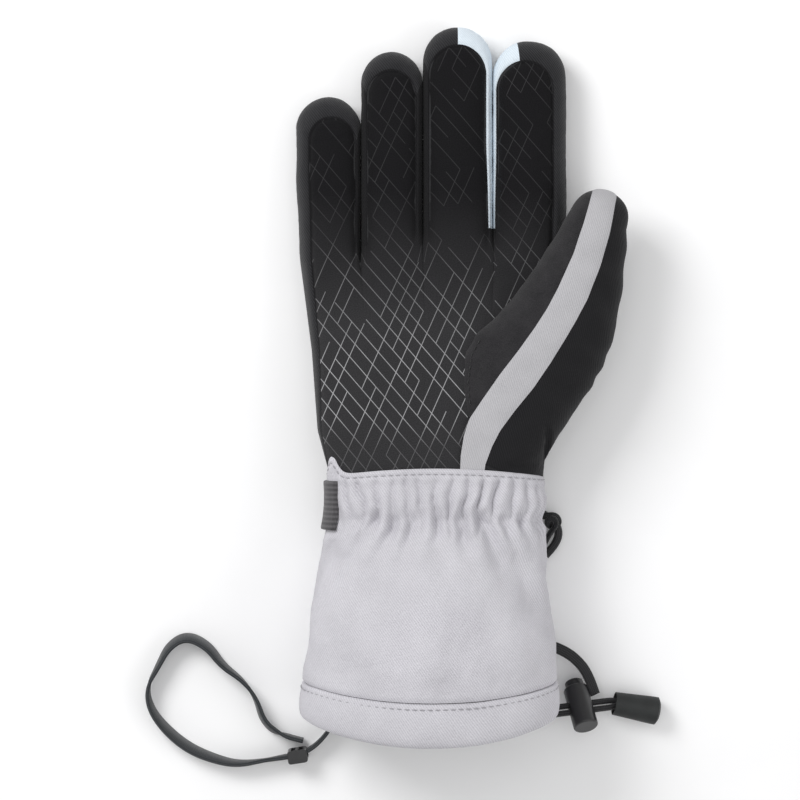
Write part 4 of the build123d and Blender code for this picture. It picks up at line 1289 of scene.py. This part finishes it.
def cuff_points(turn, across, y, out, relief=1.0):
    """Place of the cuff's cloth at a turn and a row, pushed out by a distance and by its folds."""
    x, z = cuff_ring(turn, y, out + relief * cuff_relief(across, y))
    return np.stack([x, y + bow(turn, y), np.maximum(z, GROUND)], axis=-1)


def cuff_grid(rows, out, relief=1.0):
    """Grid right round the cuff over some rows."""
    turn = TURNS[None, :] + 0 * rows[:, None]
    across = ROUND[None, :] + 0 * rows[:, None]
    y = rows[:, None] + 0 * turn
    out = np.asarray(out, dtype=float).reshape(-1, 1) if np.ndim(out) else out
    stretch = (cuff_section(rows)[1] / WRIST_HALF_WIDTH)[:, None]
    return Patch(cuff_points(turn, across, y, out, relief), np.stack([across * stretch, y, 0 * y], axis=-1))


def above_side_seams(middles):
    """Faces of the cuff on the palm side of its side seams."""
    return middles[:, 2] > 27.0 + (-42.0 - middles[:, 1]) * 10.0 / 106.0


cuff_rows = np.concatenate([np.linspace(CUFF_TOP, -70, 44), np.linspace(-70, HEM_SEAM + 0.2, 50)[1:]])
turned_in = 1.3 * (1 - smooth((CUFF_TOP - cuff_rows) / 1.0))
tucked_in = 0.9 * smooth((cuff_rows - HEM_SEAM) / -1.2 + 1.4)
seam_dip = 0.45 * bell(cuff_rows - TOP_STITCHING, 0.7)
cuff_cloth = cuff_grid(cuff_rows, 0.55 - turned_in - tucked_in - seam_dip)
for node, test in (
        ("cuff_palm_panel", above_side_seams),
        ("cuff_back_panel", lambda middles: ~above_side_seams(middles))):
    panel = join_patches(f"{node}_cloth", [cuff_cloth], GREY_TWILL, test)
    bending(panel, node)

# The hem's section, from its seam over the edge and back up inside: distance below the seam, distance out.
HEM_SECTION = np.array([
    (0.0, -0.9), (0.4, 0.1), (1.0, 0.75), (1.8, 0.75), (3.2, 0.95), (5.5, 1.2), (8.0, 1.35), (11.0, 1.3),
    (13.5, 1.0), (15.2, 0.5), (16.2, -0.1), (16.8, -0.9), (17.0, -1.8), (16.8, -2.7), (16.2, -3.3),
    (15.0, -3.8), (12.0, -3.9), (8.0, -3.9), (3.0, -3.9)])
hem = cuff_grid(HEM_SEAM - HEM_SECTION[:, 0], HEM_SECTION[:, 1], 0.55)
riding(join_patches("hem_band_cloth", [hem], GREY_TWILL), "cuff", "hem_band")

HEM_CORD_ROW = -141.0
cord_turns = np.linspace(0.42, 2 * math.pi - 0.80, 220)
cord_row = np.full(cord_turns.shape, HEM_CORD_ROW)
cord_x, cord_z = cuff_ring(cord_turns, cord_row, -1.6)
hem_cord_line = np.stack([cord_x, cord_row + bow(cord_turns, cord_row), np.maximum(cord_z, 2.0)], axis=-1)
hem_cord = swept("hem_drawcord_cord", hem_cord_line, circle(CORD_RADIUS, 10), CORD_BRAID, None, (0, 1, 0))
riding(hem_cord, "cuff", "hem_drawcord")

# The elastic and the lining follow the cuff from inside, with shallower folds.
INNER_RELIEF = 0.75
ELASTIC_OUT = -2.9
LINING_OUT = -3.6
elastic_grid = cuff_grid(np.linspace(-46, -64, 20), ELASTIC_OUT, INNER_RELIEF)
elastic = join_patches("wrist_elastic_band", [elastic_grid], WEBBING)
lining_grid = cuff_grid(np.linspace(PALM_END, HEM_SEAM - 4.0, 60), LINING_OUT, INNER_RELIEF)
lining = join_patches("cuff_lining_cloth", [lining_grid], LINING_CLOTH)
bending(elastic, "wrist_elastic")
bending(lining, "cuff_lining")


STITCH_RINGS = (-1.0, -0.55, 0.0, 0.55, 1.0)
STITCH_CORNERS = 6
STITCH_HALF_LENGTH = 1.05
THREAD_RADIUS = 0.24


def stitches(name, places, ways, outs, material):
    """Row of sewing stitches: short threads that dip into the cloth at both ends."""
    points, faces = [], []
    for place, way, out in zip(places, ways, outs):
        side = np.cross(way, out)
        first = len(points)
        for share in STITCH_RINGS:
            lift = 0.30 * (1 - share ** 2) - 0.10
            thick = THREAD_RADIUS * (1 - 0.5 * share ** 2)
            for corner in range(STITCH_CORNERS):
                angle = corner * 2 * math.pi / STITCH_CORNERS
                around = out * (lift + thick * math.sin(angle)) + side * thick * math.cos(angle)
                points.append(place + way * share * STITCH_HALF_LENGTH + around)
        for ring in range(len(STITCH_RINGS) - 1):
            here = first + ring * STITCH_CORNERS
            for corner in range(STITCH_CORNERS):
                ahead = (corner + 1) % STITCH_CORNERS
                faces.append((here + corner, here + ahead,
                              here + STITCH_CORNERS + ahead, here + STITCH_CORNERS + corner))
    return new_object(name, points, faces, material)


def sewn_line(name, line, spacing, material):
    """Stitches evenly along a line of surface points that come with the surface's outward directions."""
    points, outs = line
    steps = np.concatenate([[0], np.cumsum(np.linalg.norm(np.diff(points, axis=0), axis=1))])
    wanted = np.arange(spacing / 2, steps[-1], spacing)
    at = np.stack([np.interp(wanted, steps, points[:, axis]) for axis in range(3)], axis=1)
    ahead = np.stack([np.interp(wanted + 0.6, steps, points[:, axis]) for axis in range(3)], axis=1) - at
    ahead /= np.maximum(np.linalg.norm(ahead, axis=1), 1e-9)[:, None]
    out = np.stack([np.interp(wanted, steps, outs[:, axis]) for axis in range(3)], axis=1)
    out -= ahead * np.sum(out * ahead, axis=1)[:, None]
    out /= np.linalg.norm(out, axis=1)[:, None]
    return stitches(name, at, ahead, out, material)


def cuff_line(y, out):
    """Line right round the cuff at a row, above the floor, with its outward directions."""
    row = np.full(TURNS.shape, float(y))
    here = cuff_points(TURNS, ROUND, row, out)
    outward = cuff_points(TURNS, ROUND, row, out + 1.0) - here
    shown = here[:, 2] > 1.5
    length = np.maximum(np.linalg.norm(outward[shown], axis=1), 1e-9)
    return here[shown], outward[shown] / length[:, None]


top_stitches = sewn_line("wrist_seam_stitches", cuff_line(TOP_STITCHING, 0.25), STITCH_SPACING, GREY_THREAD)
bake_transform(top_stitches)
hem_stitches = sewn_line("hem_seam_stitches", cuff_line(HEM_STITCHING, 0.92), STITCH_SPACING, GREY_THREAD)
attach(hem_stitches, "cuff")


# ======== wrist strap over the ulnar side and the back of the wrist ========

STRAP_ROW = -57.0
STRAP_HALF_WIDTH = 10.2
STRAP_SHIFT = 2.4
STRAP_TOP = 42.0
# Its section: place across it as a share of the half width, and distance out from the cuff.
STRAP_SECTION = np.array([
    (-1.0, 0.2), (-0.995, 1.1), (-0.97, 2.0), (-0.9, 2.2), (-0.5, 2.2), (0.0, 2.2), (0.5, 2.2), (0.9, 2.2),
    (0.97, 2.0), (0.995, 1.1), (1.0, 0.2)])


def strap_patch():
    """The strap's outer face, from above the ulnar side round under the back of the wrist."""
    falling = np.linspace(math.pi / 2, math.pi, 60)
    heights = cuff_ring(falling, np.full(falling.shape, STRAP_ROW + 1.0), 1.0)[1]
    start = np.interp(STRAP_TOP, heights[::-1], falling[::-1])
    turns = np.linspace(start, 1.5 * math.pi + 0.9, 110)
    shares, outs = STRAP_SECTION.T
    turn = turns[:, None] + 0 * shares[None, :]
    y = STRAP_ROW + 0 * turn - shares[None, :] * STRAP_HALF_WIDTH
    end = np.minimum(turns - turns[0], 0.02)[:, None] / 0.02
    x, z = cuff_ring(turn, y, outs[None, :] * end + 0.3)
    run = np.concatenate([[0], np.cumsum(np.hypot(np.diff(x[:, 5]), np.diff(z[:, 5])))])
    z = np.maximum(z, GROUND)
    width = shares[None, :] * STRAP_HALF_WIDTH + 0 * turn
    cloth = np.stack([width, run[:, None] + 0 * turn, 0 * turn], axis=-1)
    return Patch(np.stack([x, y + STRAP_SHIFT, z], axis=-1), cloth)


strap = join_patches("wrist_strap_webbing", [strap_patch()], WEBBING)
bending(strap, "wrist_strap")


# ======== topstitching of the thumb's front panel ========

def thumb_line(along, inset, lift):
    """Line on the thumb's front a little inside its left seam, with outward directions."""
    across = thumb_sides(along)[0] + inset
    share = np.clip(thumb_share(along, across), 0, 1)
    x, y = thumb_plan(along, across)
    z = thumb_surface(along, across, 1) + fold_height(thumb_folds(along, across), 1, share) + lift
    points = np.stack([x, y, z], axis=-1)
    return points, np.array([-0.8, 0.3, 1.0]) + 0 * points


front_line = thumb_line(np.linspace(7.5, 36, 50), 3.0, 0.3)
front_stitches = sewn_line("thumb_front_stitches", front_line, 2.9, BLACK_THREAD)
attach(front_stitches, "hand")


# ======== linings of the hand and the thumb ========

def drawn_in(patch, middle_x, height, depth, reach):
    """A grid pulled in towards a line inside it, for the lining."""
    points = patch.points.copy()
    points[..., 0] = middle_x + (points[..., 0] - middle_x) * (1 - depth / reach)
    points[..., 2] = height + (points[..., 2] - height) * (1 - depth / 14.0)
    return Patch(points, patch.cloth, patch.flip)


hand_lining = [drawn_in(grid, -13.0, 18.0, 2.4, 55.0) for kind in hand_grids.values() for grid in kind]
piece = join_patches("hand_lining_cloth", hand_lining, LINING_CLOTH)
bending(piece, "hand_liner")
for part, low, high, bodies, zone in THUMB_PARTS[1:]:
    middle = thumb_plan((low + (high or THUMB_LINING_END)) / 2, 2.0)[0]
    inner = [drawn_in(grid, middle, THUMB_CENTRE, 2.2, 20.0) for grid in thumb_grid(low, high)]
    piece = join_patches(f"{part}_lining_cloth", inner, LINING_CLOTH)
    bending(piece, f"{part}_liner")


# ======== carried CAD pieces, floor and finish ========

CAD_LOOKS = {
    "lock_barrel": PLASTIC, "lock_plunger": PLASTIC, "leash_slider": PLASTIC, "strap_buckle": PLASTIC,
    "cord_bell": RUBBER, "cord_bell_cap": RUBBER}
for node, material in CAD_LOOKS.items():
    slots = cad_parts[node].material_slots
    if slots:
        slots[0].material = material
    else:
        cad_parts[node].data.materials.append(material)

FLOOR_SIDE = 1500
corners = [(x * FLOOR_SIDE, y * FLOOR_SIDE, 0) for x, y in ((-1, -1), (1, -1), (1, 1), (-1, 1))]
paper = Nodes("studio_floor")
mottle = paper.noise(paper.place(), 0.02, 2.0)
paper.colour(paper.ramp(mottle, (0.93, 0.93, 0.935), (0.95, 0.95, 0.955), 0.3, 0.7))
floor = new_object("studio_floor", corners, [(0, 1, 2, 3)], paper.finish(0.9, 0.0, 0.5, 0.0))
